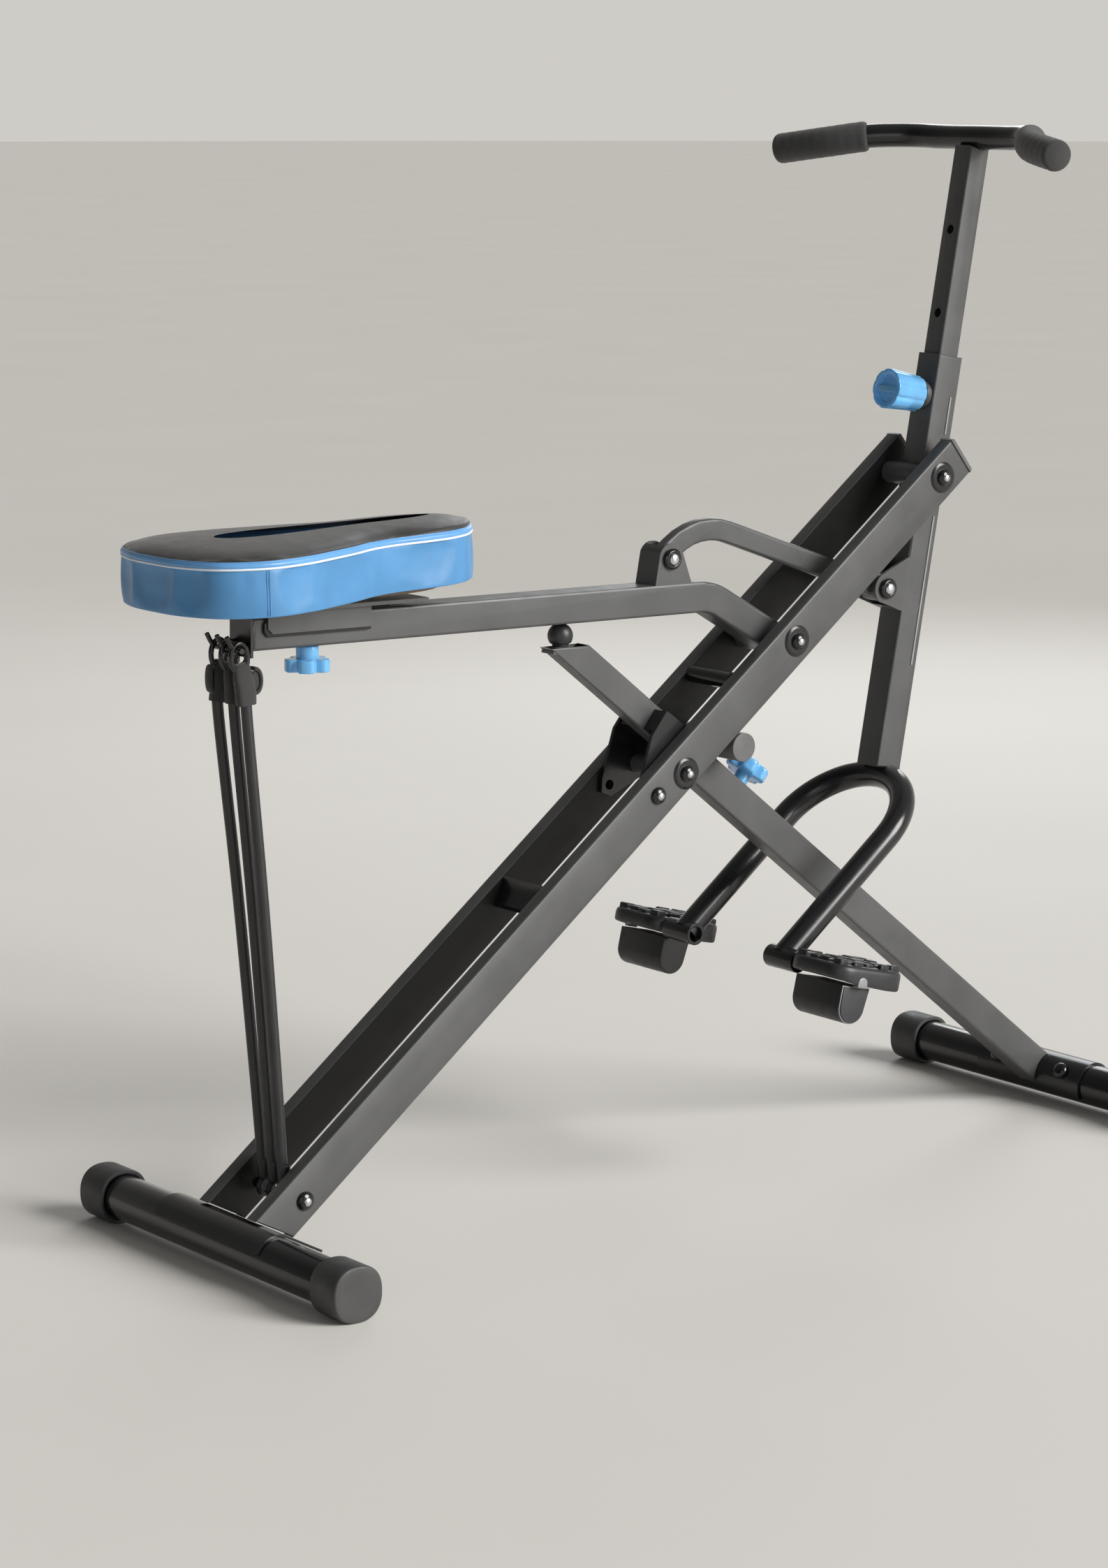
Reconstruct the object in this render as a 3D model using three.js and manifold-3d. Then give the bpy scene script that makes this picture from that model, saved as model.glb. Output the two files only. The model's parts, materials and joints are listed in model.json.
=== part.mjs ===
// Squat and row trainer: a folding exercise machine with a sprung seat arm, a pull lever with pedals
// and three resistance bands. Millimetres, +Z up. X runs from the seat end to the rear foot and Y runs
// across the machine. While it is being laid out, X = 0 is the axis of the front foot tube. The last
// lines move the origin to the middle of the footprint, on the floor.

import * as THREE from 'three';
import { mergeVertices } from 'three/addons/utils/BufferGeometryUtils.js';
import Module from 'manifold-3d';

const wasm = await Module();
wasm.setup();

// ---------------------------------------------------------------- driving dimensions
const GAP = 0.3;                        // clearance between touching pieces
const RUNNING = 0.8;                    // radial clearance of bolts in their bores

const FOOT_LENGTH = 500;                // overall width of both floor tubes
const FOOT_RADIUS = 25;
const FOOT_WALL = 1.5;
const CAP_RADIUS = 30;
const CAP_LENGTH = 46;
const CAP_END = 4;
const FRONT_X = 0;                      // axis of the front floor tube
const REAR_X = 1200;                    // axis of the rear floor tube
const SADDLE_THICK = 2.8;

const RAIL_START = [41.7, 59.9];        // point on the rails' centre line
const RAIL_ANGLE = 38.24;               // degrees above the floor
const RAIL_END = 1212.7;                // distance from RAIL_START to the top end
const RAIL_HEIGHT = 50;
const RAIL_INNER_Y = 36.3;              // inside face of each rail
const RAIL_OUTER_Y = 56.3;
const TUBE_WALL = 1.5;
const PLUG_FLANGE = 4;                  // thickness of the plug outside each rail's top end
const SADDLE_FACING = 62;               // direction in which the front saddle faces the rails

const LEVER_PIVOT = [962.1, 785.2];
const ARM_PIVOT = [742.6, 612.9];
const LEG_PIVOT = [581.6, 477.6];
const STOP_BOLT = [541.7, 456.7];
const BASE_BOLT = [65, 73.5];
const LINK_FRONT = [590, 714];          // pin joining the link to the seat arm
const LINK_REAR = [912, 656];           // pin joining the link to the lever
const BOLT_RADIUS = 5;
const PIN_RADIUS = 4;
const OPEN_PIN_BORE = 10.8;             // the link's rear eye is open, so that it can float

const LEG_ANGLE = -38.5;
const LEG_OFFSET = 32;                  // the leg tube runs this far above its pivot
const LEG_HEIGHT = 39.5;
const LEG_HALF = 15;                    // half the leg's width
const STOP_BAR_RADIUS = 16.5;
const STOP_BAR_PLACE = 53;              // distances from the leg's pivot, along the leg
const KNOB_PLACE = 116;
const REAR_BOLT_Y = [-55, 55];
const REAR_BOLT_ANGLE = 150;            // direction in which the rear bolts' heads face
const STOP_LOW = 19.5;                  // the stop post's underside and top, above the leg's pivot
const STOP_HIGH = 53;
const STOP_HALF = 12;
const SQUARE_HALF = 19;                 // half the width of the 38 mm square tubes
const STOP_TOP_Z = 626;                 // height of the stop post's level top cut
const STOP_BALL_Z = 638;

const ARM_FRONT_X = 33;
const ARM_BEND = [649, 667.3];
const ARM_SLOPE = -0.8;                 // degrees; the arm rises a little towards the seat
const ARM_BEND_RADIUS = 60;
const ARM_HALF = 17.5;                  // half the arm's height
const ARM_HALF_WIDTH = 19;

const LINK_BEND = [640, 751.7];
const LINK_BEND_RADIUS = 85;
const LINK_HALF = 12.5;
const LINK_HALF_WIDTH = 7.5;

const POST_ANGLE = 79.5;
const POST_FACE = [963.4, 785.2];       // point on the lever post's seat-side face
const POST_BOTTOM = -345;               // distances along the post from POST_FACE
const POST_TOP = 142;
const HANDLE_BOTTOM = -60;
const HANDLE_TOP = 386;
const HANDLE_HALF = 15;
const BAR_RADIUS = 14;
const BAR_WALL = 2;
const HANDLE_PITCH = 97.5;              // distance between the height-setting holes
const KNOB_HEIGHT = 92.5;               // distance of the post knob above the lever pivot
const LEVER_HUB_RADIUS = 13;

const AXLE = [699, 257];                // pedal axle
const YOKE_ANGLE = 38.2;
const YOKE_LENGTH = 283;                // from the axle to the top of the yoke's bend
const YOKE_HALF = 88;
const YOKE_RADIUS = 15;
const YOKE_WALL = 2.5;
const AXLE_RADIUS = 13;
const SPINDLE_RADIUS = 8;               // the thinner pin inside each pedal
const PEDAL_TILT = 13.5;                // degrees, toe down

const SEAT_TILT = 1.4;                  // degrees, nose up
const SEAT_PIVOT = [100, 711];          // point on the cushion's underside about which it is tilted
const SEAT_SIDE = 51;                   // height of the cushion's side band
const SEAT_CROWN = 25;                  // height of the cushion's top above the band
const SEAT_ROUND = 18;                  // how far the top's edge is rounded inwards
const BOARD_INSET = 42;                 // distance of the board's edge inside the cushion's
const BOARD_THICK = 5;
const SEAT_OUTLINE = [[-76, 0], [-72, 50], [-52, 96], [-10, 121], [40, 118], [85, 103], [116, 91], [150, 75],
  [185, 67], [226, 66], [264, 61], [297, 43], [324, 0]];

const KNOB_X = 113;                     // the seat's clamping knob
const KNOB_SCREW = 5;
const SEAT_KNOB_Z = 629;
const SEAT_TRAVEL = 100;

const HOOK_ROD = [15.5, 661];
const HOOK_ROD_RADIUS = 3;
const HOOK_HALF = [9.5, 15];             // half the width and height of a hook's ring
const HOOK_WIRE = 3;
const BAND_SIDES = [['right', -1], ['middle', 0], ['left', 1]];
const BAND_RADIUS = 6;
const BAND_PITCH = 19;
const BAND_TOP = [29, 610];
const BAND_FOOT = [63.5, 82];

// ---------------------------------------------------------------- materials
const finish = (color, roughness, metalness) =>
  new THREE.MeshStandardMaterial({ color, roughness, metalness });
const GREY_STEEL = finish(0x6b6d6f, 0.42, 0.55);
const BLACK_STEEL = finish(0x1c1d1f, 0.35, 0.5);
const GLOSS_STEEL = finish(0x111214, 0.12, 0.6);
const BLACK_PLASTIC = finish(0x202124, 0.6, 0);
const GREY_PLASTIC = finish(0x66686a, 0.5, 0);
const BLACK_RUBBER = finish(0x18191a, 0.8, 0);
const BLUE_PLASTIC = finish(0x4fa6ea, 0.25, 0);
const BLACK_VINYL = finish(0x2a2b2c, 0.55, 0);
const FOAM = finish(0x1a1a1b, 0.9, 0);
const PLYWOOD = finish(0x2c241c, 0.7, 0);

// ---------------------------------------------------------------- solids
const machine = new THREE.Group();

function add(name, material, geometry) {
  const mesh = new THREE.Mesh(geometry, material);
  mesh.name = name;
  machine.add(mesh);
  return mesh;
}

function toSolid(geometry) {
  const bare = new THREE.BufferGeometry();
  const source = geometry.index ? geometry.toNonIndexed() : geometry;
  bare.setAttribute('position', source.getAttribute('position').clone());
  const merged = mergeVertices(bare, 1e-4);
  return new wasm.Manifold(new wasm.Mesh({
    numProp: 3,
    vertProperties: new Float32Array(merged.attributes.position.array),
    triVerts: new Uint32Array(merged.index.array),
  }));
}

function toGeometry(solid) {
  const mesh = solid.getMesh();
  const geometry = new THREE.BufferGeometry();
  geometry.setAttribute('position', new THREE.BufferAttribute(new Float32Array(mesh.vertProperties), 3));
  geometry.setIndex(new THREE.BufferAttribute(new Uint32Array(mesh.triVerts), 1));
  return geometry;
}

function join(...pieces) {
  return toGeometry(pieces.map(toSolid).reduce((whole, piece) => whole.add(piece)));
}

function cut(base, ...tools) {
  return toGeometry(tools.map(toSolid).reduce((rest, tool) => rest.subtract(tool), toSolid(base)));
}

// A solid whose side view is the outline, between two values of Y. round softens its long edges.
function prism(outline, yLow, yHigh, round = 0) {
  const shape = Array.isArray(outline)
    ? new THREE.Shape(outline.map(([x, z]) => new THREE.Vector2(x, z))) : outline;
  const geometry = new THREE.ExtrudeGeometry(shape, {
    depth: yHigh - yLow - 2 * round,
    curveSegments: 8,
    bevelEnabled: round > 0,
    bevelThickness: round,
    bevelSize: round,
    bevelOffset: -round,
    bevelSegments: round < 3 ? 1 : 2,
  });
  geometry.rotateX(Math.PI / 2);
  geometry.translate(0, yHigh - round, 0);
  return geometry;
}

// A round bar along Y.
function rod([x, z], radius, yLow, yHigh, sides = 24) {
  const geometry = new THREE.CylinderGeometry(radius, radius, yHigh - yLow, sides);
  return geometry.translate(x, (yLow + yHigh) / 2, z);
}

// A turned solid about an axis along Y; the profile is a list of [radius, y] with y rising.
function turned([x, z], profile, sides = 24) {
  const geometry = new THREE.LatheGeometry(profile.map(([r, y]) => new THREE.Vector2(r, y)), sides);
  return geometry.translate(x, 0, z);
}

function mirrored(geometry) {
  const copy = geometry.clone();
  copy.scale(1, -1, 1);
  if (!copy.index) {
    copy.setIndex([...Array(copy.attributes.position.count).keys()]);
  }
  const index = copy.index.array;
  for (let i = 0; i < index.length; i += 3) {
    [index[i], index[i + 1]] = [index[i + 1], index[i]];
  }
  return copy;
}

const radians = (degrees) => degrees * Math.PI / 180;

// A ruler: at(s, n) is the point s along a line and n to its left, in the side view.
function ruler([x, z], degrees) {
  const c = Math.cos(radians(degrees));
  const s = Math.sin(radians(degrees));
  return (along, across) => [x + along * c - across * s, z + along * s + across * c];
}

// Side view of a bent bar: a start, one rounded corner and an end.
function bentOutline(start, corner, end, half, radius) {
  const inward = Math.atan2(corner[1] - start[1], corner[0] - start[0]);
  const outward = Math.atan2(end[1] - corner[1], end[0] - corner[0]);
  const turn = outward - inward;
  const side = Math.sign(turn);
  const reach = radius * Math.tan(Math.abs(turn) / 2);
  const bendStart = [corner[0] - reach * Math.cos(inward), corner[1] - reach * Math.sin(inward)];
  const centre = [bendStart[0] - side * radius * Math.sin(inward),
    bendStart[1] + side * radius * Math.cos(inward)];
  const edge = (offset) => {
    const points = [ruler(start, inward * 180 / Math.PI)(0, offset)];
    const steps = 6;
    for (let i = 0; i <= steps; i++) {
      const angle = inward + turn * i / steps;
      const r = radius - side * offset;
      points.push([centre[0] + side * r * Math.sin(angle), centre[1] - side * r * Math.cos(angle)]);
    }
    points.push(ruler(end, outward * 180 / Math.PI)(0, offset));
    return points;
  };
  return [...edge(-half), ...edge(half).reverse()];
}

// ---------------------------------------------------------------- floor tubes
function footTube(x) {
  const inner = FOOT_RADIUS - FOOT_WALL;
  const end = FOOT_LENGTH / 2 - CAP_END - GAP;
  return turned([x, CAP_RADIUS],
    [[inner, -end], [FOOT_RADIUS, -end], [FOOT_RADIUS, end], [inner, end], [inner, -end]], 24);
}

// An end cap slipped over the tube: round, with a flat block under it as its sole.
function footCap(x) {
  const sole = 12;
  const lift = Math.sqrt(CAP_RADIUS ** 2 - sole ** 2);
  const low = Math.atan2(-lift, sole) * 180 / Math.PI;
  const outline = [[-sole, -CAP_RADIUS], [sole, -CAP_RADIUS],
    ...arcPoints([0, 0], CAP_RADIUS, low, 180 - low, 14)];
  const end = FOOT_LENGTH / 2;
  const body = prism(outline, end - CAP_LENGTH, end, 1.5).translate(x, 0, CAP_RADIUS);
  return cut(body, rod([x, CAP_RADIUS], FOOT_RADIUS + GAP, end - CAP_LENGTH - 1, end - CAP_END, 24));
}

function arcPoints([x, z], radius, fromDegrees, toDegrees, steps) {
  return Array.from({ length: steps + 1 }, (_, i) => {
    const angle = radians(fromDegrees + (toDegrees - fromDegrees) * i / steps);
    return [x + radius * Math.cos(angle), z + radius * Math.sin(angle)];
  });
}

function addFloorTubes() {
  const cap = footCap(FRONT_X);
  add('front_foot_tube', GLOSS_STEEL, footTube(FRONT_X));
  add('front_foot_cap_left', BLACK_PLASTIC, cap);
  add('front_foot_cap_right', BLACK_PLASTIC, mirrored(cap));
  const rearCap = footCap(REAR_X);
  const boltHoles = REAR_BOLT_Y.map((y) => rearBoltTool(y, BOLT_RADIUS + RUNNING));
  add('rear_foot_tube', GLOSS_STEEL, cut(footTube(REAR_X), ...boltHoles));
  add('rear_foot_cap_left', BLACK_PLASTIC, rearCap);
  add('rear_foot_cap_right', BLACK_PLASTIC, mirrored(rearCap));
}

// ---------------------------------------------------------------- main frame
const rail = ruler(RAIL_START, RAIL_ANGLE);
const SADDLE_FACE = FOOT_RADIUS + GAP + SADDLE_THICK;

// The front saddle: a shell over the foot tube that runs out into a flat plate for the rails.
function frontSaddle() {
  const centre = [FRONT_X, CAP_RADIUS];
  const inner = FOOT_RADIUS + GAP;
  const run = 50;
  const plate = ruler(centre, SADDLE_FACING - 90);
  const outline = [...arcPoints(centre, inner, 158, SADDLE_FACING, 9), plate(run, inner),
    plate(run, SADDLE_FACE), ...arcPoints(centre, SADDLE_FACE, SADDLE_FACING, 158, 9)];
  return prism(outline.reverse(), -100, 100);
}

// Where the line at height n in the rail meets the saddle's plate.
function railFoot(n) {
  const facing = radians(SADDLE_FACING);
  const [mx, mz] = [Math.cos(facing), Math.sin(facing)];
  const [x0, z0] = rail(0, n);
  const away = SADDLE_FACE + GAP - (x0 - FRONT_X) * mx - (z0 - CAP_RADIUS) * mz;
  return away / Math.cos(facing - radians(RAIL_ANGLE));
}

function railTube() {
  const half = RAIL_HEIGHT / 2;
  const end = RAIL_END - PLUG_FLANGE - GAP;
  const body = prism([rail(railFoot(-half), -half), rail(end, -half), rail(end, half),
    rail(railFoot(half), half)], RAIL_INNER_Y, RAIL_OUTER_Y, 2.5);
  const bore = half - TUBE_WALL;
  const hollow = prism([rail(-80, -bore), rail(RAIL_END + 20, -bore), rail(RAIL_END + 20, bore),
    rail(-80, bore)], RAIL_INNER_Y + TUBE_WALL, RAIL_OUTER_Y - TUBE_WALL);
  const holes = [BASE_BOLT, STOP_BOLT, LEG_PIVOT, ARM_PIVOT, LEVER_PIVOT]
    .map((pivot) => rod(pivot, BOLT_RADIUS + RUNNING, 0, 100, 16));
  return cut(body, hollow, ...holes);
}

function railPlug() {
  const half = RAIL_HEIGHT / 2;
  const flange = prism([rail(RAIL_END - PLUG_FLANGE, -half), rail(RAIL_END, 2 - half),
    rail(RAIL_END, half - 2), rail(RAIL_END - PLUG_FLANGE, half)], RAIL_INNER_Y, RAIL_OUTER_Y);
  const inner = half - TUBE_WALL - GAP;
  const wall = TUBE_WALL + GAP;
  const insert = prism([rail(RAIL_END - 18, -inner), rail(RAIL_END - 1, -inner),
    rail(RAIL_END - 1, inner), rail(RAIL_END - 18, inner)], RAIL_INNER_Y + wall, RAIL_OUTER_Y - wall);
  return join(flange, insert);
}

// A carriage bolt along Y: domed head on the right-hand side, plain shank to the left.
function carriageBolt(pivot, headRadius, washerRadius) {
  const seat = -RAIL_OUTER_Y - GAP;
  const washer = washerRadius ? 2.5 : 0;
  const profile = [[0, seat - washer - 7], [headRadius * 0.45, seat - washer - 6.4],
    [headRadius * 0.8, seat - washer - 4.4], [headRadius, seat - washer - 1], [headRadius, seat - washer]];
  if (washerRadius) {
    profile.push([washerRadius - 2, seat - washer], [washerRadius, seat - 1], [washerRadius, seat]);
  }
  profile.push([BOLT_RADIUS, seat], [BOLT_RADIUS, RAIL_OUTER_Y + 12], [0, RAIL_OUTER_Y + 12]);
  return turned(pivot, profile, 16);
}

// The nut on the other end: a washer flange and a hexagon, with the shank's bore.
function flangeNut(pivot, washerRadius) {
  const seat = RAIL_OUTER_Y + GAP;
  const flange = rod(pivot, washerRadius || 12, seat, seat + 2.5, 18);
  const hexagon = rod(pivot, 9.5, seat + 2, seat + 10, 6);
  return cut(join(flange, hexagon), rod(pivot, BOLT_RADIUS + GAP, seat - 5, seat + 20, 18));
}

function crossTube() {
  return rod(rail(807, 15), 10, -RAIL_INNER_Y + GAP, RAIL_INNER_Y - GAP);
}

// The catch that holds the folded leg: a bent cross plate between the rails with a hooked lip.
function foldCatch() {
  const outline = [rail(440, 4), rail(443, 2), rail(462, 8), rail(472, 20), rail(468, 22),
    rail(458, 11.5), rail(442, 8)];
  return prism(outline, -RAIL_INNER_Y + GAP, RAIL_INNER_Y - GAP);
}

function addFrame() {
  const tube = railTube();
  const plug = railPlug();
  add('front_saddle', BLACK_STEEL, frontSaddle());
  add('rail_left', GREY_STEEL, tube);
  add('rail_right', GREY_STEEL, mirrored(tube));
  add('rail_plug_left', GREY_PLASTIC, plug);
  add('rail_plug_right', GREY_PLASTIC, mirrored(plug));
  add('rail_cross_tube', BLACK_STEEL, crossTube());
  add('fold_catch', BLACK_STEEL, foldCatch());
  const bolts = [['band_anchor', BASE_BOLT, 10.5, 0], ['stop_bracket', STOP_BOLT, 10, 0],
    ['leg_pivot', LEG_PIVOT, 10, 18], ['arm_pivot', ARM_PIVOT, 10, 18],
    ['lever_pivot', LEVER_PIVOT, 10, 18]];
  for (const [name, pivot, head, washer] of bolts) {
    add(`${name}_bolt`, GLOSS_STEEL, carriageBolt(pivot, head, washer));
    add(`${name}_nut`, BLACK_STEEL, flangeNut(pivot, washer));
  }
}

// ---------------------------------------------------------------- seat stop
const leg = ruler(LEG_PIVOT, LEG_ANGLE);
const LEG_LOW = LEG_OFFSET - LEG_HEIGHT / 2;
const LEG_HIGH = LEG_OFFSET + LEG_HEIGHT / 2;

// Distance along the leg's line at which a height above the floor is reached.
function legReach(n, z) {
  const [, z0] = leg(0, n);
  return (z - z0) / Math.sin(radians(LEG_ANGLE));
}

function stopPost() {
  const butt = -1;
  const outline = [leg(legReach(STOP_LOW, STOP_TOP_Z), STOP_LOW), leg(butt, STOP_LOW),
    leg(butt, STOP_HIGH), leg(legReach(STOP_HIGH, STOP_TOP_Z), STOP_HIGH)];
  const body = prism(outline, -STOP_HALF, STOP_HALF, 3);
  const low = STOP_LOW + TUBE_WALL;
  const high = STOP_HIGH - TUBE_WALL;
  const hollow = prism([leg(-260, low), leg(10, low), leg(10, high), leg(-260, high)],
    -STOP_HALF + TUBE_WALL, STOP_HALF - TUBE_WALL);
  return cut(body, hollow);
}

// One of the two plates that hold the stop post and the two bolts between the rails.
function stopBracket() {
  const bolt = ruler(STOP_BOLT, LEG_ANGLE);
  const plate = [leg(-52, STOP_HIGH - 6), leg(-52, STOP_LOW - 6), bolt(-13, 0), bolt(-4, -13), bolt(10, -9),
    leg(14, -10), leg(16, 8), leg(-4, STOP_HIGH - 4)];
  const spacer = [leg(-50, STOP_LOW + 2), leg(-6, STOP_LOW + 2), leg(-6, STOP_HIGH - 4),
    leg(-50, STOP_HIGH - 6)];
  const holes = [STOP_BOLT, LEG_PIVOT].map((pivot) => rod(pivot, BOLT_RADIUS + RUNNING, 0, 60, 16));
  return cut(join(prism(plate, 31.5, RAIL_INNER_Y - GAP), prism(spacer, STOP_HALF + GAP, 32)), ...holes);
}

function stopBall() {
  const ball = new THREE.SphereGeometry(14.2, 16, 10).translate(447.5, 0, STOP_BALL_Z);
  const stem = new THREE.CylinderGeometry(6, 6, 18, 16).rotateX(Math.PI / 2).translate(447.5, 0, 632);
  const seat = new THREE.BoxGeometry(60, 60, 40).translate(447.5, 0, STOP_TOP_Z - 23 + GAP);
  return join(cut(ball, seat), stem);
}

function addSeatStop() {
  const ballSeat = new THREE.BoxGeometry(36, 2 * (STOP_HALF - TUBE_WALL) + 1, 3)
    .translate(448, 0, STOP_TOP_Z - 5);
  const hole = new THREE.CylinderGeometry(6.5, 6.5, 20, 16).rotateX(Math.PI / 2)
    .translate(447.5, 0, STOP_TOP_Z);
  const bracket = stopBracket();
  add('stop_post', GREY_STEEL, join(stopPost(), cut(ballSeat, hole)));
  add('stop_bracket_left', BLACK_STEEL, bracket);
  add('stop_bracket_right', BLACK_STEEL, mirrored(bracket));
  add('stop_ball', BLACK_RUBBER, stopBall());
}

// ---------------------------------------------------------------- rear leg
const STOP_BAR = leg(STOP_BAR_PLACE, LEG_HIGH + STOP_BAR_RADIUS + GAP);

function legTube() {
  const end = 752;
  const outline = [leg(1, LEG_LOW), leg(end, LEG_LOW), leg(end, LEG_HIGH), leg(1, LEG_HIGH)];
  const body = prism(outline, -LEG_HALF, LEG_HALF, 3);
  const low = LEG_LOW + TUBE_WALL;
  const high = LEG_HIGH - TUBE_WALL;
  const hollow = prism([leg(-20, low), leg(end + 20, low), leg(end + 20, high), leg(-20, high)],
    -LEG_HALF + TUBE_WALL, LEG_HALF - TUBE_WALL);
  const pivot = rod(LEG_PIVOT, 11, -30.8, 30.8);
  const web = prism([leg(2, -7), leg(34, LEG_LOW + 1), leg(2, LEG_LOW + 1)], -LEG_HALF, LEG_HALF);
  const cope = rod([REAR_X, CAP_RADIUS], SADDLE_FACE + GAP, -60, 60, 48);
  const knobHole = pinAlong(leg(KNOB_PLACE, LEG_HIGH), LEG_ANGLE + 90, -10, 10, 6.5);
  const bolt = rod(LEG_PIVOT, BOLT_RADIUS + RUNNING, -60, 60, 16);
  return cut(join(cut(body, hollow), pivot, web), cope, knobHole, bolt);
}

// A round pin in the plane of the side view, from low to high along a direction.
function pinAlong([x, z], degrees, low, high, radius, sides = 16) {
  const geometry = new THREE.CylinderGeometry(radius, radius, high - low, sides);
  geometry.translate(0, (low + high) / 2, 0);
  geometry.rotateX(Math.PI / 2);
  geometry.rotateY(Math.PI / 2 - radians(degrees));
  return geometry.translate(x, 0, z);
}

function rearSaddle() {
  const centre = [REAR_X, CAP_RADIUS];
  const inner = FOOT_RADIUS + GAP;
  const outline = [...arcPoints(centre, SADDLE_FACE, 10, 215, 18),
    ...arcPoints(centre, inner, 215, 10, 18)];
  return cut(prism(outline, -88, 88), ...REAR_BOLT_Y.map((y) => rearBoltTool(y, BOLT_RADIUS + RUNNING)));
}

function rearBoltTool(y, radius) {
  return pinAlong([REAR_X, CAP_RADIUS], REAR_BOLT_ANGLE, 8, 60, radius).translate(0, y, 0);
}

function rearBolt(y) {
  const seat = SADDLE_FACE + 1.4;
  const profile = [[0, 12], [BOLT_RADIUS, 12], [BOLT_RADIUS, seat], [10, seat], [10, seat + 1],
    [8, seat + 4.4], [4.5, seat + 6.4], [0, seat + 7]];
  const geometry = new THREE.LatheGeometry(profile.map(([r, h]) => new THREE.Vector2(r, h)), 20);
  geometry.rotateX(Math.PI / 2);
  geometry.rotateY(Math.PI / 2 - radians(REAR_BOLT_ANGLE));
  return geometry.translate(REAR_X, y, CAP_RADIUS);
}

// A hand knob with rounded lobes about local Z: a lobed head, a round hub up to shoulder and a screw.
function lobedKnob(radius, height, lobes, hubRadius, screwRadius, headTop, shoulder, tip) {
  const shape = new THREE.Shape();
  const steps = lobes * 4;
  for (let i = 0; i <= steps; i++) {
    const angle = 2 * Math.PI * i / steps;
    const reach = radius * (0.94 + 0.06 * Math.cos(lobes * angle));
    shape[i ? 'lineTo' : 'moveTo'](reach * Math.cos(angle), reach * Math.sin(angle));
  }
  const head = new THREE.ExtrudeGeometry(shape, {
    depth: height - 4, bevelEnabled: true, bevelThickness: 2, bevelSize: 2, bevelOffset: -2,
    bevelSegments: 1,
  }).translate(0, 0, headTop - height + 2);
  const stack = [[hubRadius, headTop - 3, shoulder], [screwRadius, shoulder - 1, tip]];
  return join(head, ...stack.map(([r, low, high]) => new THREE.CylinderGeometry(r, r, high - low, 20)
    .rotateX(Math.PI / 2).translate(0, 0, (low + high) / 2)));
}

function addRearLeg() {
  add('rear_leg_tube', GREY_STEEL, legTube());
  add('rear_saddle', BLACK_STEEL, rearSaddle());
  add('leg_stop_bar', GREY_STEEL, rod(STOP_BAR, STOP_BAR_RADIUS, -RAIL_OUTER_Y, RAIL_OUTER_Y, 20));
  REAR_BOLT_Y.forEach((y) => add(`rear_foot_bolt_${y > 0 ? 'left' : 'right'}`, GLOSS_STEEL, rearBolt(y)));
  const [x, z] = leg(KNOB_PLACE, LEG_HIGH);
  const knob = lobedKnob(25, 16, 6, 9, 5, -12, -GAP, 3.5).rotateX(Math.PI);
  add('leg_lock_knob', BLUE_PLASTIC, knob.rotateY(Math.PI / 2 - radians(LEG_ANGLE + 90)).translate(x, 0, z));
}

// ---------------------------------------------------------------- seat arm
const arm = ruler(ARM_BEND, ARM_SLOPE);
const ARM_FRONT = arm(ARM_FRONT_X - ARM_BEND[0], 0);

// A pair of ears around a pin: a rounded side plate drawn as a hull of a circle and a base.
function earOutline(pin, radius, fromDegrees, toDegrees, base) {
  return [...arcPoints(pin, radius, fromDegrees, toDegrees, 8), ...base];
}

function armBracket() {
  const base = [arm(-82, ARM_HALF - 1), arm(-30, ARM_HALF - 1)];
  const outline = earOutline(LINK_FRONT, 17.5, 15, 155, base);
  const [x, z] = arm(-79.5, ARM_HALF + GAP);
  const slot = prism([[x, z], [x + 60, z], [x + 60, z + 70],
    ...arcPoints(LINK_FRONT, 40, 90, 121, 1), ...arcPoints(LINK_FRONT, 14.4, 121, 180, 6)], -15, 15);
  return cut(prism(outline, -18, 18), slot);
}

function seatArm() {
  const bar = prism(bentOutline(ARM_FRONT, ARM_BEND, ARM_PIVOT, ARM_HALF, ARM_BEND_RADIUS),
    -ARM_HALF_WIDTH, ARM_HALF_WIDTH, 3.5);
  const half = ARM_HALF - TUBE_WALL;
  const hollow = prism([arm(-700, -half), arm(-20, -half), arm(-20, half), arm(-700, half)],
    TUBE_WALL - ARM_HALF_WIDTH, ARM_HALF_WIDTH - TUBE_WALL);
  const hub = rod(ARM_PIVOT, 18, -RAIL_INNER_Y + 1.5, RAIL_INNER_Y - 1.5);
  const bore = rod(ARM_PIVOT, BOLT_RADIUS + RUNNING, -60, 60, 16);
  const pinHole = rod(LINK_FRONT, PIN_RADIUS + RUNNING, -60, 60, 16);
  const knobHole = new THREE.CylinderGeometry(KNOB_SCREW + RUNNING, KNOB_SCREW + RUNNING, 100, 16)
    .rotateX(Math.PI / 2).translate(KNOB_X, 0, ARM_FRONT[1]);
  const slotted = new THREE.BoxGeometry(SEAT_TRAVEL, 2 * (KNOB_SCREW + RUNNING), 100)
    .translate(KNOB_X + SEAT_TRAVEL / 2, 0, ARM_FRONT[1]);
  const slotEnd = knobHole.clone().translate(SEAT_TRAVEL, 0, 0);
  return cut(join(cut(bar, hollow, knobHole, slotted, slotEnd), hub, armBracket()), bore, pinHole);
}

// The plate closing the arm's front end, with two lugs that hold a rod for the band hooks.
function armEndPlate() {
  const up = ruler(ARM_FRONT, ARM_SLOPE + 90);
  const plate = prism([up(-24, GAP), up(16.5, GAP), up(16.5, 3.5), up(-24, 3.5)], -20, 20);
  const [x, z] = HOOK_ROD;
  const lug = prism([[x - 5, z - 5], [x + 6, z - 5], up(-22, 2), up(-6, 2), [x - 5, z + 5]], 7.5, 11.5);
  return join(plate, lug, mirrored(lug), rod(HOOK_ROD, HOOK_ROD_RADIUS, -25, 25, 14));
}

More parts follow.
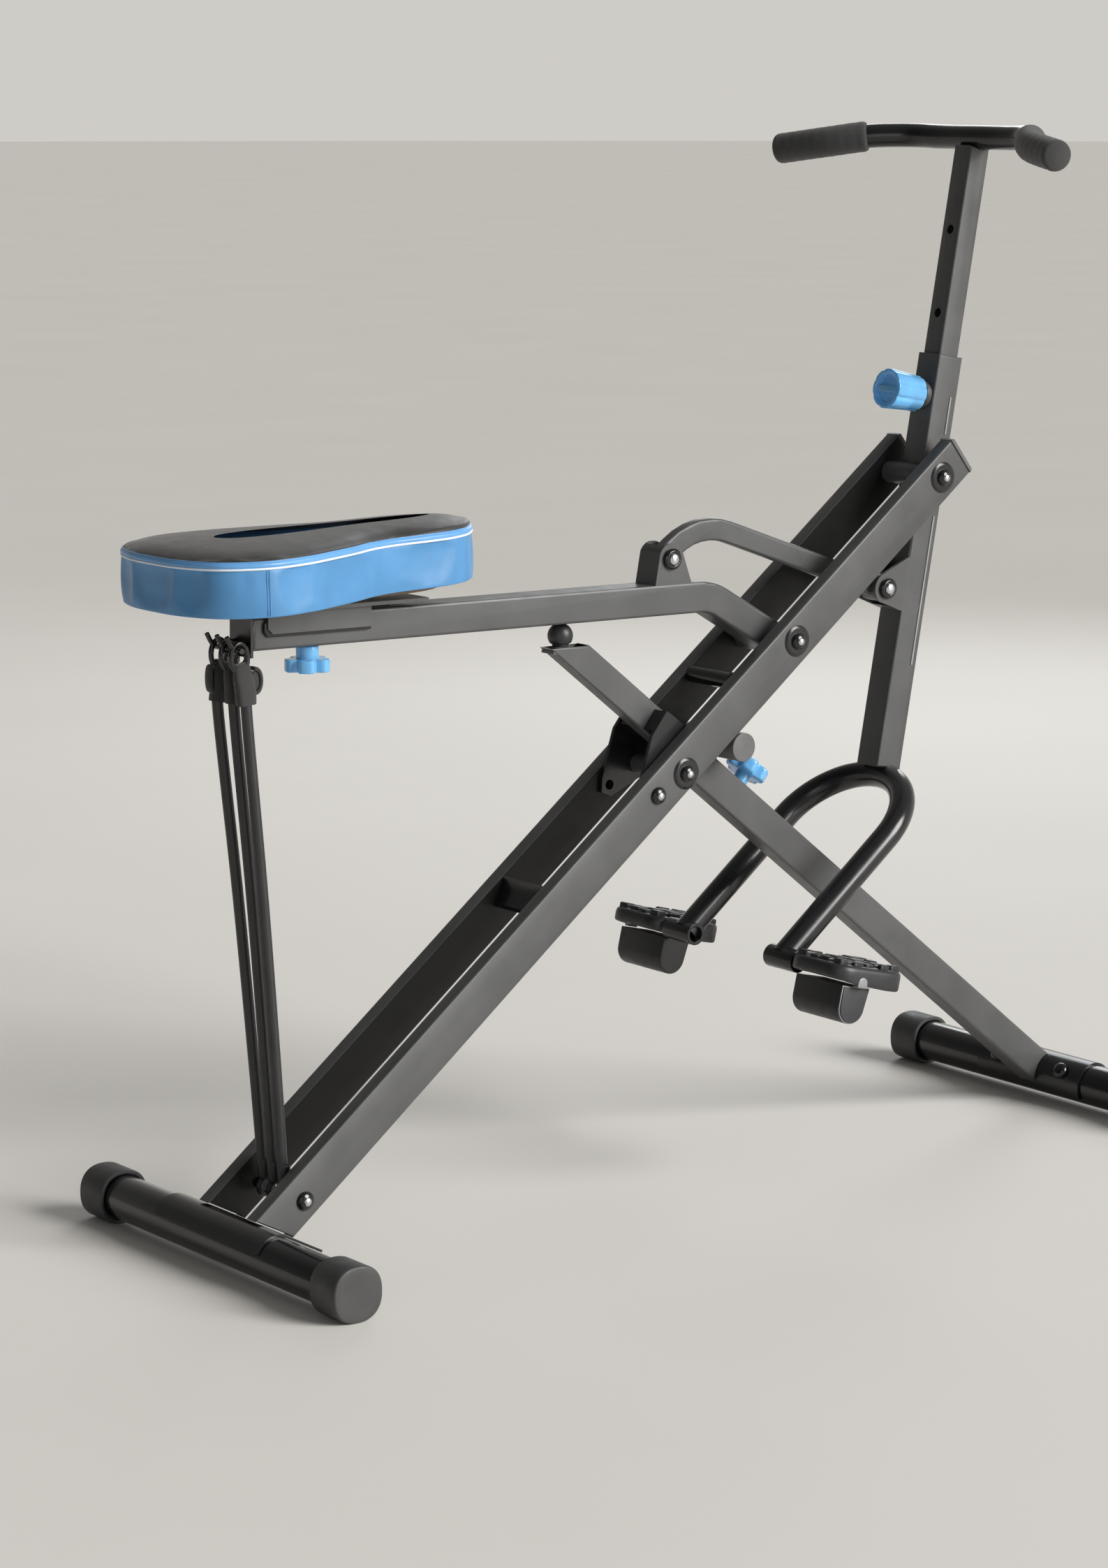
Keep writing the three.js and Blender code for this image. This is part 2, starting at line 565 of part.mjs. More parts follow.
// A link pin along Y: a shank with a domed head on both sides of its bracket.
function linkPin(pin, bracketHalf) {
  const seat = bracketHalf + GAP;
  const half = [[12, seat], [12, seat + 4], [9, seat + 6.5], [5, seat + 8.5], [0, seat + 9.2]];
  const profile = [...half.map(([r, y]) => [r, -y]).reverse(), [PIN_RADIUS, -seat], [PIN_RADIUS, seat],
    ...half];
  return turned(pin, profile, 16);
}

function addSeatArm() {
  add('seat_arm_tube', GREY_STEEL, seatArm());
  add('arm_end_plate', BLACK_STEEL, armEndPlate());
  add('link_pin_front', BLACK_STEEL, linkPin(LINK_FRONT, 18));
}

// ---------------------------------------------------------------- seat
function seatShape(inset) {
  const [cx] = SEAT_PIVOT;
  const scale = ([x, y]) => {
    const reach = Math.hypot(x - cx, y);
    return [cx + (x - cx) * (reach - inset) / reach, y * (reach - inset) / reach];
  };
  const half = SEAT_OUTLINE.map(scale);
  const other = half.slice(1, -1).reverse().map(([x, y]) => [x, -y]);
  const loop = [...half, ...other].map(([x, y]) => new THREE.Vector3(x, y, 0));
  const curve = new THREE.CatmullRomCurve3(loop, true, 'centripetal');
  const rim = curve.getPoints(56).slice(0, -1).reverse();
  return new THREE.Shape(rim.map((p) => new THREE.Vector2(p.x, p.y)));
}

function tiltSeat(geometry) {
  const [x, z] = SEAT_PIVOT;
  return geometry.rotateY(-radians(SEAT_TILT)).translate(
    x - x * Math.cos(radians(SEAT_TILT)), 0, z - x * Math.sin(radians(SEAT_TILT)));
}

function seatCushion() {
  const geometry = new THREE.ExtrudeGeometry(seatShape(0), {
    depth: SEAT_SIDE, bevelEnabled: true, bevelThickness: SEAT_CROWN, bevelSize: SEAT_ROUND,
    bevelOffset: -SEAT_ROUND, bevelSegments: 4,
  });
  const below = new THREE.BoxGeometry(900, 900, 100).translate(100, 0, -50);
  return tiltSeat(cut(geometry, below));
}

function seatBoard() {
  const board = new THREE.ExtrudeGeometry(seatShape(BOARD_INSET), { depth: BOARD_THICK, bevelEnabled: false });
  return tiltSeat(board.translate(0, 0, -BOARD_THICK - GAP));
}

// The inverted channel that slides on the arm, with a flange bolted under the seat board.
function seatBracket() {
  const inner = ARM_HALF_WIDTH + 3;
  const outer = inner + 3;
  const under = ARM_HALF + 0.6;
  const over = 27;
  const [x0, x1, x2] = [48, 178, 246].map((x) => x - ARM_BEND[0]);
  const side = [arm(x0 + 6, 0), arm(x1, 0), arm(x1, over), arm(x0, over), arm(x0, 6)];
  const channel = cut(prism(side, -outer, outer), prism([arm(x0 - 9, -30), arm(x1 + 9, -30),
    arm(x1 + 9, under), arm(x0 - 9, under)], -inner, inner));
  const flange = prism([arm(x0 - 40, over - 4), arm(x2, over - 4), arm(x2, over),
    arm(x0 - 40, over)], -34, 34);
  const thread = new THREE.CylinderGeometry(KNOB_SCREW + GAP, KNOB_SCREW + GAP, 90, 16)
    .rotateX(Math.PI / 2).translate(KNOB_X, 0, ARM_FRONT[1]);
  return cut(join(channel, flange), thread);
}

function seatKnob() {
  const [, under] = arm(KNOB_X - ARM_BEND[0], -ARM_HALF);
  const tip = under + 2 * ARM_HALF + 3;
  const knob = lobedKnob(25, 13.5, 5, 12.2, KNOB_SCREW, SEAT_KNOB_Z + 13.5, under - 2 * GAP, tip);
  return knob.translate(KNOB_X, 0, 0);
}

function addSeat() {
  add('seat_cushion', BLACK_VINYL, seatCushion());
  add('seat_board', PLYWOOD, seatBoard());
  add('seat_bracket', GREY_STEEL, seatBracket());
  add('seat_knob', BLUE_PLASTIC, seatKnob());
}

// ---------------------------------------------------------------- link
function addLink() {
  const bar = prism(bentOutline(LINK_FRONT, LINK_BEND, LINK_REAR, LINK_HALF, LINK_BEND_RADIUS),
    -LINK_HALF_WIDTH, LINK_HALF_WIDTH, 3);
  const frontEye = rod(LINK_FRONT, LINK_HALF + 0.5, -14, 14);
  const rearEye = rod(LINK_REAR, 16, -12, 12);
  const body = cut(join(bar, frontEye, rearEye), rod(LINK_FRONT, PIN_RADIUS + RUNNING, -40, 40, 16),
    rod(LINK_REAR, OPEN_PIN_BORE, -40, 40, 20));
  add('link_bar', GREY_STEEL, body);
}

// ---------------------------------------------------------------- lever
const post = ruler(POST_FACE, POST_ANGLE);    // across is negative towards the rear foot
const POST_WIDTH = 2 * SQUARE_HALF;
const yoke = ruler(AXLE, YOKE_ANGLE);

function postTube() {
  const body = prism([post(POST_BOTTOM, 0), post(POST_BOTTOM, -POST_WIDTH), post(POST_TOP, -POST_WIDTH),
    post(POST_TOP, 0)], -SQUARE_HALF, SQUARE_HALF, 2.5);
  return body;
}

function postHollow() {
  const [near, far] = [-TUBE_WALL, TUBE_WALL - POST_WIDTH];
  return prism([post(POST_BOTTOM + 25, near), post(POST_BOTTOM + 25, far), post(POST_TOP + 20, far),
    post(POST_TOP + 20, near)], TUBE_WALL - SQUARE_HALF, SQUARE_HALF - TUBE_WALL);
}

function leverBracket() {
  const base = [post(-97, 0.5), post(-97, -2), post(-160, -2), post(-160, 0.5)];
  const outline = earOutline(LINK_REAR, 18, 120, 235, [...base].reverse());
  const slot = prism([post(-60, 0.3), post(-147, 0.3), ...arcPoints(LINK_REAR, 40, 236, 140, 4)], -15, 15);
  return cut(prism(outline, -SQUARE_HALF, SQUARE_HALF), slot);
}

function leverPost() {
  const hub = rod(LEVER_PIVOT, LEVER_HUB_RADIUS, -RAIL_INNER_Y + 1.5, RAIL_INNER_Y - 1.5);
  const bore = rod(LEVER_PIVOT, BOLT_RADIUS + RUNNING, -60, 60, 16);
  const pinHole = rod(LINK_REAR, PIN_RADIUS + RUNNING, -60, 60, 16);
  const knobHole = pinAlong(post(KNOB_HEIGHT, 0), POST_ANGLE + 90, -12, 30, 6.5);
  const yokeSeat = yokeTube(YOKE_RADIUS + GAP);
  const body = cut(join(postTube(), hub, leverBracket()), postHollow(), bore, pinHole, knobHole, yokeSeat);
  return body;
}

// Two straight legs joined by a half circle, in the yoke's sloping plane.
function yokeTube(radius) {
  const straight = YOKE_LENGTH - YOKE_HALF;
  const path = new THREE.CurvePath();
  const steps = 14;
  const at = (angle) => new THREE.Vector3(YOKE_HALF * Math.sin(angle), -YOKE_HALF * Math.cos(angle), 0);
  for (let i = 0; i < steps; i++) {
    path.add(new THREE.LineCurve3(at(Math.PI * i / steps), at(Math.PI * (i + 1) / steps)));
  }
  const section = new THREE.Shape().absarc(0, 0, radius, 0, 2 * Math.PI);
  const bend = new THREE.ExtrudeGeometry(section, {
    extrudePath: path, steps, curveSegments: 8, bevelEnabled: false,
  }).translate(straight, 0, 0);
  const legs = [-YOKE_HALF, YOKE_HALF].map((y) => new THREE.CylinderGeometry(radius, radius, straight + 2, 16)
    .rotateZ(Math.PI / 2).translate(straight / 2 + 1, y, 0));
  return join(bend, ...legs).rotateY(-radians(YOKE_ANGLE)).translate(AXLE[0], 0, AXLE[1]);
}

// A small welding vent on the underside of each yoke leg, near the axle.
function yokeVent() {
  const [x, z] = yoke(40, 0);
  return pinAlong([x, z], YOKE_ANGLE - 90, 0, 2 * YOKE_RADIUS, 3, 12).translate(0, YOKE_HALF, 0);
}

function addLever() {
  add('lever_post', GREY_STEEL, leverPost());
  add('link_pin_rear', BLACK_STEEL, linkPin(LINK_REAR, SQUARE_HALF));
  const axle = join(rod(AXLE, AXLE_RADIUS, 68, 116, 20), rod(AXLE, SPINDLE_RADIUS, 115, 192, 16));
  const vent = yokeVent();
  add('pedal_yoke', BLACK_STEEL, cut(join(cut(yokeTube(YOKE_RADIUS), yokeTube(YOKE_RADIUS - YOKE_WALL)),
    axle, mirrored(axle)), vent, mirrored(vent)));
  const face = post(KNOB_HEIGHT, 0);
  add('post_knob_collar', BLACK_PLASTIC, cut(pinAlong(face, POST_ANGLE + 90, GAP, 9, 15, 20),
    pinAlong(face, POST_ANGLE + 90, -5, 20, 5.5)));
  add('post_knob', BLUE_PLASTIC, join(pinAlong(face, POST_ANGLE + 90, 9 + GAP, 12, 13, 20),
    pinAlong(face, POST_ANGLE + 90, 11, 58, 22.5, 20), pinAlong(face, POST_ANGLE + 90, -3.2, 12, 5)));
}

// ---------------------------------------------------------------- handle
function handlePost() {
  const mid = -POST_WIDTH / 2;
  const [low, high] = [mid - HANDLE_HALF, mid + HANDLE_HALF];
  const body = prism([post(HANDLE_BOTTOM, low), post(HANDLE_TOP, low), post(HANDLE_TOP, high),
    post(HANDLE_BOTTOM, high)], -HANDLE_HALF, HANDLE_HALF, 2.5);
  const wall = TUBE_WALL;
  const hollow = prism([post(HANDLE_BOTTOM - 9, low + wall), post(HANDLE_TOP - 9, low + wall),
    post(HANDLE_TOP - 9, high - wall), post(HANDLE_BOTTOM - 9, high - wall)],
  -HANDLE_HALF + wall, HANDLE_HALF - wall);
  const holes = [0, 1, 2].map((i) => KNOB_HEIGHT + i * HANDLE_PITCH)
    .map((s) => pinAlong(post(s, high), POST_ANGLE + 90, -10, 10, 5.6, 12));
  return cut(body, hollow, ...holes);
}

// Half of the handlebar's centre line: straight in the middle, then swept back and down to the grip.
function barPoints() {
  const [x, z] = post(HANDLE_TOP + BAR_RADIUS - 3, -POST_WIDTH / 2);
  return [[x, 0, z], [x, 60, z], [x - 6, 95, z + 1], [x - 40, 135, z], [x - 74, 175, z - 7],
    [x - 96, 238, z - 16]].map(([a, b, c]) => new THREE.Vector3(a, b, c));
}

function barCurve() {
  const half = barPoints();
  const other = half.slice(1).reverse().map((p) => new THREE.Vector3(p.x, -p.y, p.z));
  return new THREE.CatmullRomCurve3([...other, ...half], false, 'centripetal');
}

// A round piece following the handlebar between two fractions of its length.
function alongBar(radius, from, to, steps, sides) {
  const whole = barCurve();
  const points = Array.from({ length: steps + 1 },
    (_, i) => whole.getPointAt(from + (to - from) * i / steps));
  const section = new THREE.Shape().absarc(0, 0, radius, 0, 2 * Math.PI);
  return new THREE.ExtrudeGeometry(section, {
    extrudePath: new THREE.CatmullRomCurve3(points), steps, curveSegments: sides / 2, bevelEnabled: false,
  });
}

function addHandle() {
  const bar = cut(alongBar(BAR_RADIUS, 0.012, 0.988, 28, 14), alongBar(BAR_RADIUS - BAR_WALL, 0, 1, 28, 14));
  add('handle_post', GREY_STEEL, cut(handlePost(), alongBar(BAR_RADIUS + GAP, 0.35, 0.65, 8, 14)));
  add('handlebar', BLACK_STEEL, bar);
  for (const [side, from, to] of [['right', 0, 0.22], ['left', 0.78, 1]]) {
    const foam = alongBar(18, from, to, 6, 18);
    add(`handle_grip_${side}`, FOAM, cut(foam, alongBar(BAR_RADIUS + 2 * GAP, 0.01, 0.99, 28, 14)));
  }
}

// ---------------------------------------------------------------- pedals
// Pedal side views are drawn about the axle, level, and then tilted toe down.
function pedalTread() {
  const shape = new THREE.Shape();
  const [x0, x1, y0, y1, corner] = [-22, 88, 117, 209, 16];
  shape.moveTo(x0 + corner, y0);
  shape.lineTo(x1 - corner, y0);
  shape.absarc(x1 - corner, y0 + corner, corner, -Math.PI / 2, 0);
  shape.lineTo(x1, y1 - corner);
  shape.absarc(x1 - corner, y1 - corner, corner, 0, Math.PI / 2);
  shape.lineTo(x0 + corner, y1);
  shape.absarc(x0 + corner, y1 - corner, corner, Math.PI / 2, Math.PI);
  shape.lineTo(x0, y0 + corner);
  shape.absarc(x0 + corner, y0 + corner, corner, Math.PI, 1.5 * Math.PI);
  const plate = new THREE.ExtrudeGeometry(shape, { depth: 24, curveSegments: 4, bevelEnabled: false })
    .translate(0, 0, -12);
  const blocks = [];
  for (let i = 0; i < 4; i++) {
    for (let j = 0; j < 3; j++) {
      blocks.push(new THREE.BoxGeometry(17, 20, 4).translate(x0 + 24 + i * 21, y0 + 21 + j * 26.5, 13));
    }
  }
  const bore = rod([0, 0], SPINDLE_RADIUS + RUNNING, 100, 194, 16);
  return cut(join(plate, ...blocks), bore);
}

// The weighted housing under the tread: flat on top, with a rounded bottom.
function housingOutline(inset) {
  const radius = 19 - inset;
  const top = -12 - GAP - inset;
  return [...arcPoints([15, -36], radius, 180, 350, 9), [37 - inset, top], [-4 + inset, top]];
}

function pedalHousing() {
  return join(prism(housingOutline(0), 119, 199), prism(housingOutline(3), 198, 201));
}

function placePedal(geometry) {
  return geometry.rotateY(radians(PEDAL_TILT)).translate(AXLE[0], 0, AXLE[1]);
}

function addPedals() {
  const tread = placePedal(pedalTread());
  const housing = placePedal(pedalHousing());
  for (const [side, flip] of [['left', (g) => g], ['right', mirrored]]) {
    add(`pedal_tread_${side}`, BLACK_RUBBER, flip(tread));
    add(`pedal_housing_${side}`, BLACK_PLASTIC, flip(housing));
  }
}

// ---------------------------------------------------------------- resistance bands
// A snap hook: an oval ring hanging from the rod on the arm's end plate.
function hookRing(wire, y) {
  const ring = new THREE.TorusGeometry(1, 1, 6, 18);
  const place = ring.attributes.position;
  for (let i = 0; i <= 6; i++) {
    for (let j = 0; j <= 18; j++) {
      const around = 2 * Math.PI * i / 6;
      const along = 2 * Math.PI * j / 18;
      const [c, s] = [Math.cos(along), Math.sin(along)];
      const [a, b] = HOOK_HALF;
      place.setXYZ(i * 19 + j, (a + wire * Math.cos(around)) * c, -wire * Math.sin(around),
        (b + wire * Math.cos(around)) * s);
    }
  }
  const [x, z] = HOOK_ROD;
  const hang = HOOK_ROD_RADIUS + 6 * GAP + HOOK_WIRE - HOOK_HALF[1];
  return toGeometry(toSolid(ring)).translate(x, y, z + hang);
}

// A rubber tube with a webbing cuff folded over its hook.
function band(y) {
  const [x0, z0] = BAND_TOP;
  const [x1, z1] = BAND_FOOT;
  const path = new THREE.LineCurve3(new THREE.Vector3(x0, y, z0), new THREE.Vector3(x1, y, z1));
  const section = new THREE.Shape().absarc(0, 0, BAND_RADIUS, 0, 2 * Math.PI);
  const tube = new THREE.ExtrudeGeometry(section, {
    extrudePath: path, steps: 8, curveSegments: 5, bevelEnabled: false,
  });
  const cuff = prism([[13, 602], [36, 602], [35, 644], [30, 650], [19, 650], [14, 644]],
    y - 6.5, y + 6.5, 2);
  const eye = cut(rod(BASE_BOLT, BAND_RADIUS + BOLT_RADIUS + 2, y - 6.5, y + 6.5, 18),
    rod(BASE_BOLT, BOLT_RADIUS + RUNNING, y - 9, y + 9, 16));
  const hole = rod(BASE_BOLT, BOLT_RADIUS + RUNNING, y - 9, y + 9, 16);
  return cut(join(tube, eye, cuff), hookRing(HOOK_WIRE + GAP, y), hole);
}

function addBands() {
  for (const [name, side] of BAND_SIDES) {
    const y = side * BAND_PITCH;
    add(`band_hook_${name}`, BLACK_STEEL, hookRing(HOOK_WIRE, y));
    add(`band_${name}`, BLACK_RUBBER, band(y));
  }
}

// ---------------------------------------------------------------- assembly
addFloorTubes();
addFrame();
addSeatStop();
addRearLeg();
addSeatArm();
addSeat();
addLink();
addLever();
addHandle();
addPedals();
addBands();

const box = new THREE.Box3().setFromObject(machine);
machine.position.set(-(box.min.x + box.max.x) / 2, 0, -box.min.z);

export default machine;
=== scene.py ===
import json
import math

import bmesh
import bpy
from mathutils import Matrix, Vector


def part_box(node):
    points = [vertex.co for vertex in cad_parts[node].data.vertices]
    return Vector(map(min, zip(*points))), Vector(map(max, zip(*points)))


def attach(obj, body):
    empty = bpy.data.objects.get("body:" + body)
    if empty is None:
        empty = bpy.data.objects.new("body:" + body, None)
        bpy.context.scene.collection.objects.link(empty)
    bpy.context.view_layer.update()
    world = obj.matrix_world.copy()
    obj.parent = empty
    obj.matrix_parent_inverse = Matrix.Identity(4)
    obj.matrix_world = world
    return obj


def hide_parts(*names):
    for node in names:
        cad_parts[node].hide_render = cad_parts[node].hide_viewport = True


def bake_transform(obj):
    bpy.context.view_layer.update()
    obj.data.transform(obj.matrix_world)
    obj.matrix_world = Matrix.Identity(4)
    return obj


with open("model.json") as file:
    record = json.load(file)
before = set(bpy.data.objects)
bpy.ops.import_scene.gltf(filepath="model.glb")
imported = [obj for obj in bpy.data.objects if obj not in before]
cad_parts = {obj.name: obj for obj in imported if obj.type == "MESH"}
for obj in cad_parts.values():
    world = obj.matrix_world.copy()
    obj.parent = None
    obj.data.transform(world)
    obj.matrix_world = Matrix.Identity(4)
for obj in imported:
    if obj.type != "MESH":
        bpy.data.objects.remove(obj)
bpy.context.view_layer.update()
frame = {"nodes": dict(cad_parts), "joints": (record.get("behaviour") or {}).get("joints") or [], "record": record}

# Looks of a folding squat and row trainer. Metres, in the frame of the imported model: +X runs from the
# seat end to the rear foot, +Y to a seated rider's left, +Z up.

JOINTS = {joint["name"]: joint for joint in frame["joints"]}
MM = 0.001


# ---------------------------------------------------------------- where things are
def pivot(joint):
    return Vector(JOINTS[joint]["pos_m"])


def middle(node):
    low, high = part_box(node)
    return (low + high) / 2


def direction(degrees):
    """A direction in the side view, in degrees above +X."""
    return Vector((math.cos(math.radians(degrees)), 0, math.sin(math.radians(degrees))))


RAIL_INNER_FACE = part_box("rail_left")[0].y + 0.4 * MM
YOKE_ANGLE = 38.2
PEDAL_TILT = math.radians(13.5)
SEAT_TILT = math.radians(1.4)
POST_UP = Vector(JOINTS["handle_height"]["axis"])
POST_OUT = Vector((-POST_UP.z, 0, POST_UP.x))       # out of the post's seat-side face
BACK = Vector((0, -1, 0))
ACROSS = Vector((0, 1, 0))


# ---------------------------------------------------------------- mesh tools
def build(name, vertices, faces, finish, body, stands_for=(), slot=None, sharp=40):
    """A closed mesh as a piece on a body. finish is a material or a list of them; all go on the mesh, and every
    face takes the first.
    """
    mesh = bpy.data.meshes.new(name)
    mesh.from_pydata([tuple(v) for v in vertices], [], faces)
    work = bmesh.new()
    work.from_mesh(mesh)
    bmesh.ops.remove_doubles(work, verts=work.verts, dist=1e-7)
    bmesh.ops.recalc_face_normals(work, faces=work.faces)
    work.to_mesh(mesh)
    work.free()
    for polygon in mesh.polygons:
        polygon.use_smooth = True
    mesh.set_sharp_from_angle(angle=math.radians(sharp))
    piece = bpy.data.objects.new(name, mesh)
    bpy.context.scene.collection.objects.link(piece)
    for one in finish if isinstance(finish, (list, tuple)) else [finish]:
        mesh.materials.append(one)
    if body:
        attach(piece, body)
    if stands_for:
        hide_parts(*([stands_for] if isinstance(stands_for, str) else stands_for))
    return piece


def loft(rings, closed=False, offset=0):
    """Vertices and faces of loops of equal length joined one to the next, with flat ends."""
    count = len(rings[0])
    vertices = [point for ring in rings for point in ring]
    faces = []
    spans = len(rings) if closed else len(rings) - 1
    for i in range(spans):
        a, b = i * count, (i + 1) % len(rings) * count
        for j in range(count):
            k = (j + 1) % count
            faces.append((a + j, a + k, b + k, b + j))
    if not closed:
        faces.append(tuple(range(count)))
        faces.append(tuple(range((len(rings) - 1) * count, len(rings) * count)))
    return vertices, [tuple(i + offset for i in face) for face in faces]


def merge(*parts):
    """Several (vertices, faces) as one."""
    vertices, faces = [], []
    for some_vertices, some_faces in parts:
        start = len(vertices)
        vertices += some_vertices
        faces += [tuple(i + start for i in face) for face in some_faces]
    return vertices, faces


def basis(origin, up, side=None):
    """A matrix whose local Z is up, and whose local X is as near side as it can be."""
    up = up.normalized()
    side = side or (Vector((1, 0, 0)) if abs(up.x) < 0.9 else Vector((0, 1, 0)))
    x = (side - up * side.dot(up)).normalized()
    y = up.cross(x)
    return Matrix((
        (x.x, y.x, up.x, origin.x), (x.y, y.y, up.y, origin.y), (x.z, y.z, up.z, origin.z), (0, 0, 0, 1)))


def lathe(profile, origin, up, segments=48, side=None, wave=None):
    """A turned shape: profile is a list of (radius, height) along up, from end to end."""
    place = basis(origin, up, side)
    rings = []
    for radius, height in profile:
        radius = max(radius, 2e-5)
        ring = []
        for i in range(segments):
            angle = 2 * math.pi * i / segments
            reach = radius * (wave(angle) if wave else 1)
            ring.append(place @ Vector((reach * math.cos(angle), reach * math.sin(angle), height)))
        rings.append(ring)
    return loft(rings)


def rounded(profile, radius, steps=4):
    """A (radius, height) profile with each of its inner corners turned into an arc."""
    out = [profile[0]]
    for before, corner, after in zip(profile, profile[1:], profile[2:]):
        a, c, b = Vector(before), Vector(corner), Vector(after)
        cut = min(radius, (a - c).length * 0.49, (b - c).length * 0.49)
        if cut < 1e-6:
            out.append(corner)
            continue
        start, end = c + (a - c).normalized() * cut, c + (b - c).normalized() * cut
        for i in range(steps + 1):
            t = i / steps
            out.append(tuple(start.lerp(c, t).lerp(c.lerp(end, t), t)))
    out.append(profile[-1])
    return out


def curve_points(points, count, closed=False):
    """count points evenly spaced along a centripetal Catmull-Rom curve through points."""
    points = [Vector(p) for p in points]
    if closed:
        ends = [points[-1], *points, points[0], points[1]]
    else:
        ends = [2 * points[0] - points[1], *points, 2 * points[-1] - points[-2]]
    dense = []
    for p0, p1, p2, p3 in zip(ends, ends[1:], ends[2:], ends[3:]):
        knots = [0.0]
        for a, b in ((p0, p1), (p1, p2), (p2, p3)):
            knots.append(knots[-1] + max((b - a).length, 1e-9) ** 0.5)
        for i in range(24):
            t = knots[1] + (knots[2] - knots[1]) * i / 24
            a1 = p0.lerp(p1, (t - knots[0]) / (knots[1] - knots[0]))
            a2 = p1.lerp(p2, (t - knots[1]) / (knots[2] - knots[1]))
            a3 = p2.lerp(p3, (t - knots[2]) / (knots[3] - knots[2]))
            b1 = a1.lerp(a2, (t - knots[0]) / (knots[2] - knots[0]))
            b2 = a2.lerp(a3, (t - knots[1]) / (knots[3] - knots[1]))
            dense.append(b1.lerp(b2, (t - knots[1]) / (knots[2] - knots[1])))
    dense.append(points[0] if closed else points[-1])
    reach = [0.0]
    for a, b in zip(dense, dense[1:]):
        reach.append(reach[-1] + (b - a).length)
    out, k = [], 0
    total = count if closed else count - 1
    for i in range(count):
        goal = reach[-1] * i / total
        while k < len(reach) - 2 and reach[k + 1] < goal:
            k += 1
        span = reach[k + 1] - reach[k]
        out.append(dense[k].lerp(dense[k + 1], (goal - reach[k]) / span if span else 0))
    return out


def sweep(path, radius, segments=24, closed=False, flat=None, taper=None, side=None):
    """A round (or, with flat=(width, thickness), an oval) section carried along a path without twist."""
    rings = []
    count = len(path)
    normal = None
    for i, point in enumerate(path):
        ahead = path[(i + 1) % count] if closed or i < count - 1 else point
        behind = path[i - 1] if closed or i > 0 else point
        tangent = (ahead - behind).normalized()
        if normal is None:
            start = side or (Vector((0, 0, 1)) if abs(tangent.z) < 0.9 else Vector((1, 0, 0)))
            normal = (start - tangent * start.dot(tangent)).normalized()
        normal = (normal - tangent * normal.dot(tangent)).normalized()
        other = tangent.cross(normal)
        size = radius * (taper(i / (count - 1)) if taper else 1)
        width, thick = (flat[0] / 2, flat[1] / 2) if flat else (size, size)
        rings.append([
            point + normal * width * soft_cos(a, flat) + other * thick * soft_sin(a, flat)
            for a in (2 * math.pi * j / segments for j in range(segments))])
    return loft(rings, closed)


def soft_cos(angle, flat):
    """The cosine, squared off when the section is a flat one."""
    c = math.cos(angle)
    return math.copysign(abs(c) ** 0.45, c) if flat else c


def soft_sin(angle, flat):
    s = math.sin(angle)
    return math.copysign(abs(s) ** 0.8, s) if flat else s


def inset_outline(outline, inset):
    """A 2-D loop moved inward by inset along its corner normals."""
    points = [Vector(p) for p in outline]
    area = sum(a.x * b.y - b.x * a.y for a, b in zip(points, points[1:] + points[:1]))
    turn = 1 if area > 0 else -1
    out = []
    for i, point in enumerate(points):
        d1 = (point - points[i - 1]).normalized()
        d2 = (points[(i + 1) % len(points)] - point).normalized()
        n1, n2 = Vector((-d1.y, d1.x)) * turn, Vector((-d2.y, d2.x)) * turn
        corner = (n1 + n2).normalized()
        out.append(point + corner * (inset / max(0.35, corner.dot(n1))))
    return out


def slab(outline, low, high, place, round_low=0.0, round_high=0.0, steps=3):
    """A 2-D outline raised from low to high along local Z, with rounded rims."""
    levels = []
    for i in range(steps + 1 if round_low else 1):
        angle = math.pi / 2 * i / steps
        levels.append((round_low * (1 - math.sin(angle)), low + round_low * (1 - math.cos(angle))))
    for i in range(steps + 1 if round_high else 1):
        angle = math.pi / 2 * (1 - i / steps)
        levels.append((round_high * (1 - math.sin(angle)), high - round_high * (1 - math.cos(angle))))
    rings = [[place @ Vector((p.x, p.y, level)) for p in inset_outline(outline, inset)]
             for inset, level in levels]
    return loft(rings)


def fillet(outline, radius, steps=4):
    """A 2-D loop with its corners rounded; radius is one value or one for each corner."""
    points = [Vector(p) for p in outline]
    radii = radius if isinstance(radius, (list, tuple)) else [radius] * len(points)
    out = []
    for i, corner in enumerate(points):
        before, after = points[i - 1], points[(i + 1) % len(points)]
        into, on = (before - corner), (after - corner)
        half = into.angle(on) / 2
        cut = min(radii[i] / max(math.tan(half), 1e-6), into.length * 0.49, on.length * 0.49)
        if cut < 1e-6:
            out.append(corner)
            continue
        start, end = corner + into.normalized() * cut, corner + on.normalized() * cut
        for k in range(steps + 1):
            t = k / steps
            out.append(start.lerp(corner, t).lerp(corner.lerp(end, t), t))
    return out


def side_view(origin, degrees=0.0):
    """Local X and Y lie in the side view, turned by degrees; local Z is -Y, towards the right-hand side."""
    along = direction(degrees)
    across = Vector((-along.z, 0, along.x))
    return Matrix((
        (along.x, across.x, 0, origin.x), (0, 0, -1, origin.y), (along.z, across.z, 0, origin.z),
        (0, 0, 0, 1)))


# ---------------------------------------------------------------- materials
def principled(name, color, roughness, metallic=0.0, **sockets):
    material = bpy.data.materials.new(name)
    material.use_nodes = True
    shader = material.node_tree.nodes["Principled BSDF"]
    shader.inputs["Base Color"].default_value = (*color, 1)
    shader.inputs["Roughness"].default_value = roughness
    shader.inputs["Metallic"].default_value = metallic
    for socket, value in sockets.items():
        shader.inputs[socket.replace("_", " ")].default_value = value
    return material


